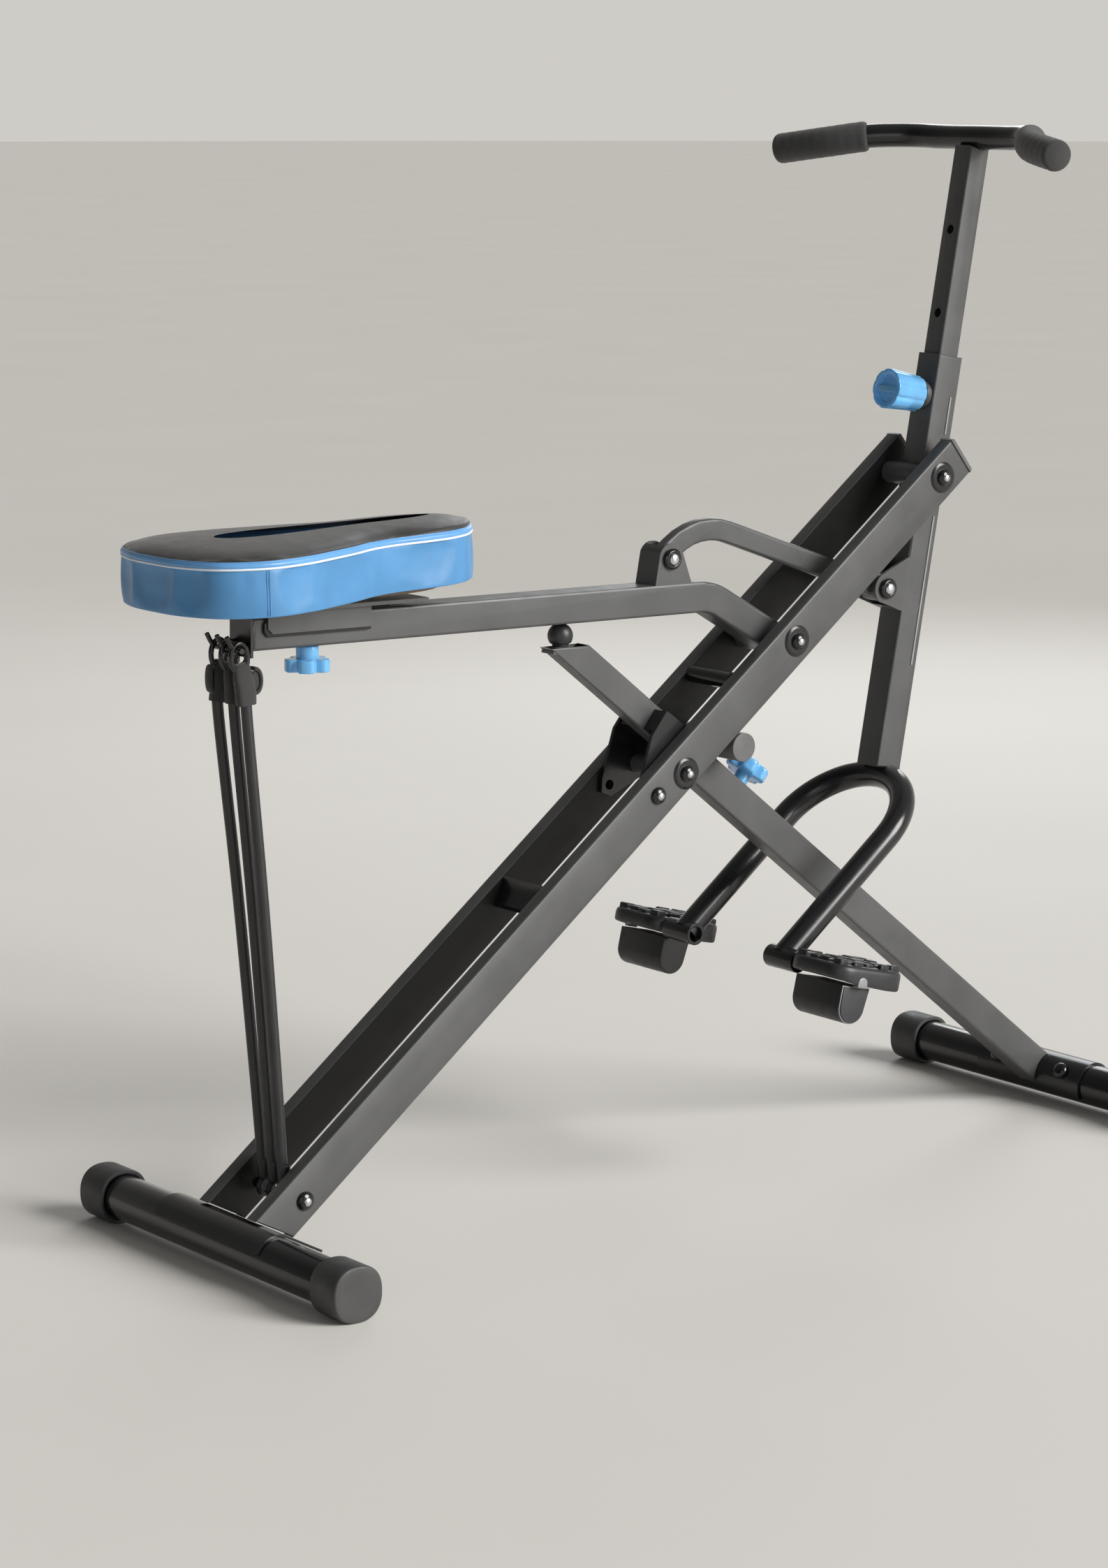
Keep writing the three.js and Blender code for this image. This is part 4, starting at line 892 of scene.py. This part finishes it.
def add_seat_knob():
    low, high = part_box("seat_knob")
    centre = pivot("seat_knob_turn")
    radius = 24.5 * MM
    base = Vector((centre.x, centre.y, low.z))
    up = Vector((0, 0, 1))
    head = rounded([(0, 0), (radius * 0.97, 0), (radius, 0.8 * MM), (radius, 12.7 * MM),
                    (radius * 0.97, 13.5 * MM), (0, 13.5 * MM)], 0.6 * MM)
    star = lathe(head, base, up, 120, Vector((1, 0, 0)), star_wave(5, 0.34, math.radians(SEAT_KNOB_TURN)))
    hub = rounded([(0, 10 * MM), (12.2 * MM, 10 * MM), (12.2 * MM, 26.9 * MM), (11 * MM, 27.4 * MM),
                   (0, 27.4 * MM)], 0.6 * MM)
    collar = lathe(hub, base, up, 48)
    build("seat_knob_grip", *merge(star, collar), BLUE_PLASTIC, "seat_clamp", "seat_knob", "blue_plastic", 35)
    screw = [(0, 26 * MM), (4.7 * MM, 26 * MM), (4.7 * MM, high.z - low.z), (0, high.z - low.z)]
    build("seat_knob_screw", *lathe(screw, base, up, 24), BRIGHT_STEEL, "seat_clamp", slot="black_steel")


def add_leg_knob():
    axis = Vector(JOINTS["leg_knob_turn"]["axis"])
    star = rounded([(0, -8 * MM), (23 * MM, -8 * MM), (25 * MM, -6 * MM), (25 * MM, 6 * MM),
                    (23 * MM, 8 * MM), (0, 8 * MM)], 1.4 * MM)
    head = leg_knob_head(axis)
    made = lathe(star, head, axis, 120, None, star_wave(5, 0.28, 0.3))
    hub = lathe([(0, -19 * MM), (9 * MM, -19 * MM), (9 * MM, 0), (0, 0)], head, axis, 40)
    build("leg_lock_knob_grip", *merge(made, hub), BLUE_PLASTIC, "leg_knob", "leg_lock_knob",
          "blue_plastic", 35)


def leg_knob_head(axis):
    """The middle of the leg knob's head: its far face is the node's furthest point along the axis."""
    node = frame["nodes"]["leg_lock_knob"]
    at = pivot("leg_knob_turn")
    reach = max((v.co - at).dot(axis) for v in node.data.vertices)
    return at + axis * (reach - 8 * MM)


def add_post_knob():
    """A pull knob: a fluted, slightly tapered body with a ringed end and a bar across it."""
    out = -Vector(JOINTS["height_knob_pull"]["axis"])
    if out.x > 0:
        out = -out
    collar = middle("post_knob_collar")
    node = frame["nodes"]["post_knob"]
    reach = max((v.co - collar).dot(out) for v in node.data.vertices)
    end = collar + out * reach
    length = 46 * MM
    flute = lambda angle: 1 - 0.045 * (0.5 - 0.5 * math.cos(8 * angle)) ** 6
    body = rounded([(0, -length), (21 * MM, -length), (23.2 * MM, -4 * MM), (23.2 * MM, 0), (19.6 * MM, 0),
                    (18.6 * MM, -1.6 * MM), (16.8 * MM, -1.6 * MM), (15.8 * MM, -4.5 * MM),
                    (0, -4.5 * MM)], 0.9 * MM)
    knob = lathe(body, end, out, 128, ACROSS, flute)
    stem = lathe([(0, -length - 3 * MM), (13 * MM, -length - 3 * MM), (13 * MM, -length + 1 * MM),
                  (0, -length + 1 * MM)], end, out, 40)
    place = basis(end, out, ACROSS)
    bar = fillet([(-15.4 * MM, -4 * MM), (15.4 * MM, -4 * MM), (15.4 * MM, 4 * MM),
                  (-15.4 * MM, 4 * MM)], 1 * MM)
    grip = slab(bar, -5 * MM, -1.6 * MM, place, 0, 0.8 * MM)
    build("post_knob_grip", *merge(knob, stem, grip), BLUE_PLASTIC, "height_knob", "post_knob",
          "blue_plastic", 35)
    ring = rounded([(5.6 * MM, -4.2 * MM), (17 * MM, -4.2 * MM), (17 * MM, 2.5 * MM), (14.5 * MM, 4.3 * MM),
                    (5.6 * MM, 4.3 * MM)], 0.9 * MM)
    rings = lathe(ring, collar, out, 48)
    build("post_knob_collar_skin", *rings, BLACK_PLASTIC, "lever", "post_knob_collar", "black_plastic")


def add_knobs():
    add_seat_knob()
    add_leg_knob()
    add_post_knob()


# ---------------------------------------------------------------- stop ball and bar
def add_stop():
    """The rubber buffer on the stop post, and the bar under the rails that the leg rests against."""
    low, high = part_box("stop_ball")
    centre = middle("stop_ball")
    radius = (high.x - low.x) / 2
    top = high.z - radius
    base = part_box("stop_post")[1].z
    profile = [(0, base - top), (radius * 0.62, base - top), (radius * 0.66, base - top + 3 * MM)]
    start = math.asin(max(-1, min(1, (base - top + 4 * MM) / radius)))
    for i in range(17):
        angle = start + (math.pi / 2 - start) * i / 16
        profile.append((radius * math.cos(angle), radius * math.sin(angle)))
    ball = lathe(profile, Vector((centre.x, centre.y, top)), Vector((0, 0, 1)), 48)
    build("stop_ball_buffer", *ball, BLACK_RUBBER, "main_frame", "stop_ball", "black_rubber")
    low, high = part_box("leg_stop_bar")
    half = (high.y - low.y) / 2
    radius = (high.x - low.x) / 2
    bar = rounded([(0, -half), (radius, -half), (radius, half), (0, half)], 1.2 * MM)
    build("leg_stop_bar_skin", *lathe(bar, middle("leg_stop_bar"), ACROSS, 56), GREY_PLASTIC, "rear_leg",
          "leg_stop_bar", "grey_steel")


# ---------------------------------------------------------------- yoke, handlebar and grips
YOKE_HALF = 88 * MM
YOKE_RADIUS = 15 * MM
AXLE_RADIUS = 13 * MM
YOKE_LENGTH = 283 * MM


def add_yoke():
    """A round tube bent into a stirrup, with an open stub axle at the end of each leg."""
    axle = (pivot("pedal_left_turn") + pivot("pedal_right_turn")) / 2
    up = direction(YOKE_ANGLE)
    straight = YOKE_LENGTH - YOKE_HALF
    path = [axle + up * (straight * i / 6) - ACROSS * YOKE_HALF for i in range(6)]
    for i in range(33):
        angle = math.pi * i / 32
        rise = straight + YOKE_HALF * math.sin(angle)
        path.append(axle + up * rise - ACROSS * YOKE_HALF * math.cos(angle))
    path += [axle + up * (straight * i / 6) + ACROSS * YOKE_HALF for i in range(5, -1, -1)]
    parts = [sweep(path, YOKE_RADIUS, 40, side=direction(YOKE_ANGLE + 90))]
    for way in (-1, 1):
        stub = rounded([(9 * MM, 84 * MM), (9 * MM, 68 * MM), (AXLE_RADIUS, 68 * MM), (AXLE_RADIUS, 116 * MM),
                        (8 * MM, 116.4 * MM), (8 * MM, 192 * MM), (0, 192 * MM)], 0.8 * MM)
        parts.append(lathe([(0, 84 * MM), *stub], axle, ACROSS * way, 48))
    build("pedal_yoke_tube", *merge(*parts), BLACK_STEEL, "lever", "pedal_yoke", "black_steel", 35)


def bar_line():
    """The handlebar's centre line, from the right-hand grip to the left-hand one."""
    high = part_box("handlebar")[1]
    x, z = high.x - BAR_RADIUS, high.z - BAR_RADIUS - 0.6 * MM
    half = [(0, 0, 0), (0, 60, 0), (-6, 95, 1), (-40, 135, 0), (-74, 175, -7), (-96, 238, -16)]
    left = [Vector((x + a * MM, b * MM, z + c * MM)) for a, b, c in half]
    right = [Vector((p.x, -p.y, p.z)) for p in reversed(left[1:])]
    return curve_points([*right, *left], 121)


BAR_RADIUS = 14 * MM
GRIP_RADIUS = 18 * MM
GRIP_STEPS = 27


def grip_taper(t):
    """Relative radius along a foam grip: soft ends and shallow finger rings."""
    edge = min(t, 1 - t) / 0.05
    soft = math.sqrt(max(0.0, 1 - (1 - min(1, edge)) ** 2)) * 0.16 + 0.84
    return soft * (1 - 0.012 * (0.5 + 0.5 * math.cos(2 * math.pi * 9 * t)))


def add_handlebar():
    line = bar_line()
    build("handlebar_tube", *sweep(line[2:-2], BAR_RADIUS, 36), BLACK_STEEL, "handle", "handlebar",
          "black_steel", 35)
    for side, stretch in (("right", line[:GRIP_STEPS]), ("left", line[-GRIP_STEPS:])):
        fine = curve_points(stretch, 90)
        grip = build(f"handle_grip_{side}_foam", *sweep(fine, GRIP_RADIUS, 40, taper=grip_taper), FOAM,
                     "handle", f"handle_grip_{side}", "foam", 50)


# ---------------------------------------------------------------- pedals
TREAD = (-22 * MM, 88 * MM, 117 * MM, 209 * MM)      # heel and toe along X, inner and outer |Y|


def pedal_frame(side):
    """Local X to the toe, local Y away from the machine, local Z up out of the tread."""
    way = 1 if side == "left" else -1
    axle = pivot(f"pedal_{side}_turn")
    turn = Matrix.Rotation(PEDAL_TILT, 4, "Y")
    return Matrix.Translation(Vector((axle.x, 0, axle.z))) @ turn @ Matrix.Diagonal((1, way, 1, 1))


def tread_plate(place):
    """The pad's body: bulging sides, and a skirt that hangs deepest in the middle."""
    x0, x1, y0, y1 = TREAD
    outline = fillet([(x0, y0), (x1, y0), (x1, y1), (x0, y1)], [26 * MM, 32 * MM, 34 * MM, 28 * MM], 10)
    rings = []
    levels = [(7, -8.6), (3.4, -10.6), (1.8, -11.8), (0.9, -11.4), (0, -9), (0, 4.5), (0.8, 8), (3, 10.2),
              (6, 11.2), (9, 11.4)]
    for inset, height in levels:
        ring = []
        for point in inset_outline(outline, inset * MM):
            drop = skirt_drop(point) if height < 0 else 0
            ring.append(place @ Vector((point.x, point.y, height * MM + drop)))
        rings.append(ring)
    return loft(rings)


def skirt_drop(point):
    """How much shorter the skirt is at a point: an arc along the pad, shortest at the heel."""
    x0, x1, _, _ = TREAD
    along = (point.x - x0) / (x1 - x0)
    return 7 * MM * max(0, 0.55 - along) ** 1.6 / 0.55 ** 1.6


def tread_blocks(place):
    """Rows of rounded lugs in a staggered pattern, each a little different."""
    x0, x1, y0, y1 = TREAD
    parts = []
    rows, columns = 5, 4
    for i in range(rows):
        for j in range(columns + i % 2):
            width = (y1 - y0 - 16 * MM) / columns
            y = y0 + 8 * MM + width * (j + (0 if i % 2 else 0.5))
            x = x0 + 12 * MM + (x1 - x0 - 24 * MM) * (i + 0.15) / (rows - 0.7)
            half_x, half_y = 8.0 * MM, width * 0.41
            if i % 2 and j in (0, columns):
                half_y *= 0.55
                y += (3.2 if j == 0 else -3.2) * MM
            if i == rows - 1 and j in (0, columns - 1):
                half_y *= 0.75
            skew = (1.4 + 1.3 * ((i * 5 + j * 3) % 4) / 3) * MM * (1 if (i + j) % 2 else -1)
            half_x += 0.9 * MM * math.sin(2.1 * i + 1.7 * j)
            corners = [(x - half_x, y - half_y + skew), (x + half_x, y - half_y - skew * 0.4),
                       (x + half_x, y + half_y - skew), (x - half_x, y + half_y + skew * 0.6)]
            lug = fillet(corners, 3.4 * MM, 4)
            top = (15.6 + 1.1 * math.cos(1.3 * i + 2.3 * j)) * MM
            parts.append(slab(lug, 9 * MM, top, place, 0, 2.4 * MM, 4))
    return merge(*parts)


def housing_outline(inset=0.0):
    """The weight housing's section: flat on top, upright at the toe end, with a round belly."""
    radius = 19 - inset
    points = []
    for i in range(18):
        angle = math.radians(180 + 170 * i / 17)
        points.append(((15 + radius * math.cos(angle)) * MM, (-36 + radius * math.sin(angle)) * MM))
    points.append(((37 - inset) * MM, (-12.3 - inset) * MM))
    points.append(((-4 + inset) * MM, (-12.3 - inset) * MM))
    return points


def add_pedal(side):
    place = pedal_frame(side)
    body = f"pedal_{side}"
    across = place @ Matrix(((1, 0, 0, 0), (0, 0, 1, 0), (0, 1, 0, 0), (0, 0, 0, 1)))
    plate = merge(tread_plate(place), tread_blocks(place))
    build(f"pedal_tread_{side}_pad", *plate, BLACK_RUBBER, body, f"pedal_tread_{side}", "black_rubber", 45)
    shell = slab(housing_outline(), 119 * MM, 199 * MM, across, 2.4 * MM, 1.2 * MM, 4)
    build(f"pedal_housing_{side}_shell", *shell, HOUSING_PLASTIC, body, f"pedal_housing_{side}",
          "black_plastic", 35)
    cover = slab(housing_outline(1.4), 198.6 * MM, 201 * MM, across, 0, 0.9 * MM, 3)
    build(f"pedal_end_cover_{side}", *cover, COVER_PLASTIC, body, slot="black_plastic", sharp=35)
    # The end rim and tab are a lighter grey: painted highlight on black plastic.
    rim = slab(housing_outline(0.2), 197.9 * MM, 199.5 * MM, across, 0.4 * MM, 0.4 * MM, 2)
    arch = [(16 * MM + 7 * MM * math.cos(math.radians(a)), -7 * MM + 7 * MM * math.sin(math.radians(a)))
            for a in range(0, 181, 15)]
    tab = slab([(9 * MM, -12 * MM), (23 * MM, -12 * MM), *arch], 203 * MM, 210 * MM, across, 0, 1.2 * MM, 3)
    build(f"pedal_trim_{side}", *merge(rim, tab), PAINTED_HIGHLIGHT_GREY, body, slot="black_plastic", sharp=35)


def add_pedals():
    for side in ("left", "right"):
        add_pedal(side)


# ---------------------------------------------------------------- bands, cuffs and hooks
BAND_ORDER = ("right", "middle", "left")
BAND_RADIUS = 6 * MM
CUFF_DROP = 50 * MM             # of the cuff's foot below the middle of its hook
CUFF_RISE = 6 * MM              # of the cuff's top below it
CUFF_FORWARD = {"right": 5 * MM, "middle": 2 * MM, "left": -6 * MM}


def band_ends(name):
    """The rod under the arm that a band's hook hangs on, and the bolt that its lower end loops round."""
    y = middle(f"band_{name}").y
    hook = middle(f"band_hook_{name}")
    anchor = middle("band_anchor_bolt")
    return Vector((hook.x, y, hook.z)), Vector((anchor.x, y, anchor.z))


def add_band(name):
    """A rubber tube from its cuff to an eye round the anchor bolt, built in place on no body; the real band
    stretches as the arm rises.
    """
    top, foot = band_ends(name)
    cuff_foot = top + Vector((CUFF_FORWARD[name] + 3 * MM, 0, -CUFF_DROP))
    start = cuff_foot + Vector((0, 0, 12 * MM))
    path = curve_points([start, cuff_foot, cuff_foot.lerp(foot, 0.4) + Vector((1.5 * MM, 0, 0)),
                         cuff_foot.lerp(foot, 0.8), foot + Vector((-3 * MM, 0, 13 * MM))], 90)
    tube = sweep(path, BAND_RADIUS, 20, side=Vector((1, 0, 0)))
    eye_path = []
    for i in range(40):
        angle = 2 * math.pi * i / 40
        eye_path.append(foot + Vector((8.6 * MM * math.cos(angle), 0, 8.6 * MM * math.sin(angle))))
    eye = sweep(eye_path, 3.4 * MM, 14, closed=True, side=ACROSS)
    clamp = lathe(rounded([(0, 0), (7.6 * MM, 0), (7.2 * MM, 22 * MM), (0, 22 * MM)], 1 * MM),
                  foot + Vector((-0.5 * MM, 0, 10 * MM)), cuff_foot - foot, 24)
    piece = build(f"band_{name}_tube", *merge(tube, eye, clamp), BAND_RUBBER, None, f"band_{name}",
                  "black_rubber", 50)
    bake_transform(piece)
    return top, cuff_foot


def add_cuff(name, top, cuff_foot):
    """A webbing cuff sewn round the tube's end and folded through the hook, with the fold's free end
    standing out behind it as a D."""
    wide = (23 if name == "right" else 19) * MM
    head = top + Vector((2 * MM, 0, -CUFF_RISE))
    line = [cuff_foot, cuff_foot.lerp(head, 0.35) + Vector((1 * MM, 0, 0)),
            cuff_foot.lerp(head, 0.7) + Vector((0.5 * MM, 0, 0)), head]
    path = curve_points(line, 30)
    vertices, faces = sweep(path, 1, 28, flat=(wide, 13.2 * MM), side=Vector((1, 0, 0)))
    for ring, centre in enumerate(path):
        t = ring / (len(path) - 1)
        thin = 1 - 0.5 * max(0, (t - 0.4) / 0.6) ** 1.3
        narrow = 1 - 0.3 * max(0, (t - 0.6) / 0.4) ** 1.5 - 0.06 * max(0, 0.12 - t) / 0.12
        for v in vertices[ring * 28:(ring + 1) * 28]:
            v.y = centre.y + (v.y - centre.y) * thin
            v.x = centre.x + (v.x - centre.x) * narrow
    build(f"band_{name}_cuff", vertices, faces, WEBBING, "seat_arm", slot="foam", sharp=60)
    add_fold(name, cuff_foot, head, wide)


def add_fold(name, cuff_foot, head, wide):
    """The D: a thick strap from the cuff's top round to its side, nearly filled by a webbing core."""
    way = -1 if name == "left" else 1
    reach = (8.5 if name == "right" else 3.5) * MM
    middle_height = (head.z - cuff_foot.z) * 0.56
    side = cuff_foot + Vector((way * wide * 0.36, 0, middle_height))
    strap = []
    core = []
    for i in range(33):
        angle = math.pi * (i / 32 - 0.5)
        bulge = math.cos(angle) ** 0.8
        strap.append(side + Vector((way * reach * bulge, 0, 13 * MM * math.sin(angle))))
        core.append((way * (reach * bulge - 1 * MM), 10 * MM * math.sin(angle)))
    loop = sweep(strap, 1, 20, flat=(4.4 * MM, 11 * MM), side=Vector((1, 0, 0)))
    plug = slab(core if way > 0 else core[::-1], -3 * MM, 3 * MM, side_view(side), 1 * MM, 1 * MM, 2)
    build(f"band_{name}_fold", *merge(loop, plug), WEBBING, "seat_arm", slot="foam", sharp=60)


def add_hook(name, top):
    """A snap hook: an oval of steel wire, its gate with a rivet and a lug at the top."""
    low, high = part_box(f"band_hook_{name}")
    half_x, half_z = (high.x - low.x) / 2 - 2.6 * MM, (high.z - low.z) / 2 - 2.6 * MM
    ring = []
    for i in range(56):
        angle = 2 * math.pi * i / 56
        ring.append(top + Vector((half_x * math.cos(angle), 0, half_z * math.sin(angle))))
    body = sweep(ring, 2.9 * MM, 16, closed=True, side=ACROSS)
    gate = sweep([top + Vector((half_x * 0.9, 0, -half_z * 0.5)),
                  top + Vector((half_x * 1.02, 0, half_z * 0.1)),
                  top + Vector((half_x * 0.75, 0, half_z * 0.7))], 3.4 * MM, 16)
    lug = sweep([top + Vector((-half_x * 0.7, 0, half_z * 0.6)),
                 top + Vector((-half_x * 1.1, 0, half_z * 1.0)),
                 top + Vector((-half_x * 1.5, 0, half_z * 1.5))], 2.6 * MM, 14)
    rivet = lathe([(0, -4 * MM), (2 * MM, -4 * MM), (2 * MM, 4 * MM), (0, 4 * MM)],
                  top + Vector((half_x * 0.9, 0, -half_z * 0.35)), ACROSS, 16)
    build(f"band_hook_{name}_wire", *merge(body, gate, lug, rivet), GLOSS_STEEL, "seat_arm",
          f"band_hook_{name}", "black_steel", 45)


def add_bands():
    for name in BAND_ORDER:
        top, cuff_foot = add_band(name)
        add_cuff(name, top, cuff_foot)
        add_hook(name, top)


# ---------------------------------------------------------------- lever details
POST_HALF = 19 * MM


def add_post_ribs():
    """Two thin raised weld lines on the right-hand face of the lever post, in a lighter grey that is a painted
    highlight along them.
    """
    foot = pivot("lever_pivot")
    for name, low, high, back_low, back_high in (("upper", 51, 95, 28, 28), ("lower", -221, -45, 30, 30)):
        start = foot + POST_UP * low * MM - POST_OUT * back_low * MM
        end = foot + POST_UP * high * MM - POST_OUT * back_high * MM
        path = [Vector((p.x, -POST_HALF, p.z)) for p in (start.lerp(end, i / 8) for i in range(9))]
        rib = sweep(path, 1, 16, flat=(2.6 * MM, 2.6 * MM), side=POST_OUT)
        build(f"lever_post_rib_{name}", *rib, PAINTED_HIGHLIGHT_GREY, "lever", slot="grey_steel", sharp=50)


# ---------------------------------------------------------------- stage, lights and camera
def add_stage():
    bpy.ops.mesh.primitive_circle_add(vertices=96, radius=60, fill_type="NGON")
    floor = bpy.context.object
    floor.name = "floor"
    paper = principled("floor_paper", (0.76, 0.74, 0.71), 0.7)
    shade(paper, noise(paper, 1.5, 2), (0.75, 0.73, 0.70), (0.77, 0.75, 0.72))
    floor.data.materials.append(paper)


def add_light(name, place, target, size, power, color=(1, 1, 1)):
    data = bpy.data.lights.new(name, "AREA")
    data.shape = "RECTANGLE"
    data.size, data.size_y = size
    data.energy = power
    data.color = color
    light = bpy.data.objects.new(name, data)
    light.location = place
    light.rotation_euler = (Vector(target) - Vector(place)).to_track_quat("-Z", "Y").to_euler()
    bpy.context.scene.collection.objects.link(light)


def add_sun(name, direction_to, strength, spread, color):
    """A distant soft light; direction_to points from the machine to the light."""
    data = bpy.data.lights.new(name, "SUN")
    data.energy = strength
    data.angle = math.radians(spread)
    data.color = color
    light = bpy.data.objects.new(name, data)
    light.rotation_euler = Vector(direction_to).to_track_quat("Z", "Y").to_euler()
    bpy.context.scene.collection.objects.link(light)


def add_lights():
    add_sun("key", (0.42, -0.78, 0.46), 3.5, 32, (1, 0.985, 0.96))
    add_light("strip", (1.6, -4.2, 1.5), (0.3, 0, 0.5), (0.3, 2.4), 34)
    add_light("fill", (-3.4, -3.2, 1.6), (-0.2, 0, 0.6), (2.0, 2.0), 16, (0.96, 0.98, 1))
    add_light("back", (3.2, 2.8, 2.2), (0.1, 0, 0.5), (1.8, 1.8), 30, (0.94, 0.98, 1))
    world = bpy.data.worlds.new("studio")
    world.use_nodes = True
    bpy.context.scene.world = world
    shade_world(world)
    bpy.context.scene.view_settings.view_transform = "Standard"


def shade_world(world):
    """A pale studio, with a dark wall on the seat's side and a dim ceiling."""
    nodes, links = world.node_tree.nodes, world.node_tree.links
    place = nodes.new("ShaderNodeTexCoord")
    split = nodes.new("ShaderNodeSeparateXYZ")
    links.new(place.outputs["Generated"], split.inputs["Vector"])
    walls = world_ramp(world, split.outputs["X"], -1, 1, ((0.05, 0.04), (0.55, 0.62)))
    ceiling = world_ramp(world, split.outputs["Z"], 0, 1, ((0.04, 1), (0.5, 0.38)))
    both = nodes.new("ShaderNodeMix")
    both.data_type = "RGBA"
    both.blend_type = "MULTIPLY"
    both.inputs["Factor"].default_value = 1
    links.new(walls, both.inputs["A"])
    links.new(ceiling, both.inputs["B"])
    links.new(both.outputs["Result"], nodes["Background"].inputs["Color"])


def world_ramp(world, value, low, high, stops):
    """Grey levels (place, level) spread over value from low to high, slightly warm."""
    nodes, links = world.node_tree.nodes, world.node_tree.links
    spread = nodes.new("ShaderNodeMapRange")
    spread.inputs["From Min"].default_value = low
    spread.inputs["From Max"].default_value = high
    ramp = nodes.new("ShaderNodeValToRGB")
    for element, (place, level) in zip(ramp.color_ramp.elements, stops):
        element.position = place
        element.color = (level, level * 0.985, level * 0.96, 1)
    links.new(value, spread.inputs["Value"])
    links.new(spread.outputs["Result"], ramp.inputs["Fac"])
    return ramp.outputs["Color"]


VIEW_YAW = 37.3                # degrees, from +Y towards +X
VIEW_PITCH = 10.11             # degrees, downward
LENS = 93.35                   # millimetres on the 36 mm side


def add_camera():
    data = bpy.data.cameras.new("photo_view")
    data.sensor_width = 36
    data.lens = LENS
    camera = bpy.data.objects.new("photo_view", data)
    camera.location = (-2.82045, -3.52194, 1.26247)
    camera.rotation_euler = (math.radians(90 - VIEW_PITCH), 0, math.radians(-VIEW_YAW))
    bpy.context.scene.collection.objects.link(camera)
    bpy.context.scene.camera = camera


# ---------------------------------------------------------------- the machine
add_camera()
add_stage()
add_lights()
dress_cad_nodes()
add_floor_tubes()
add_fasteners()
add_seat()
add_knobs()
add_stop()
add_yoke()
add_handlebar()
add_pedals()
add_bands()
add_post_ribs()
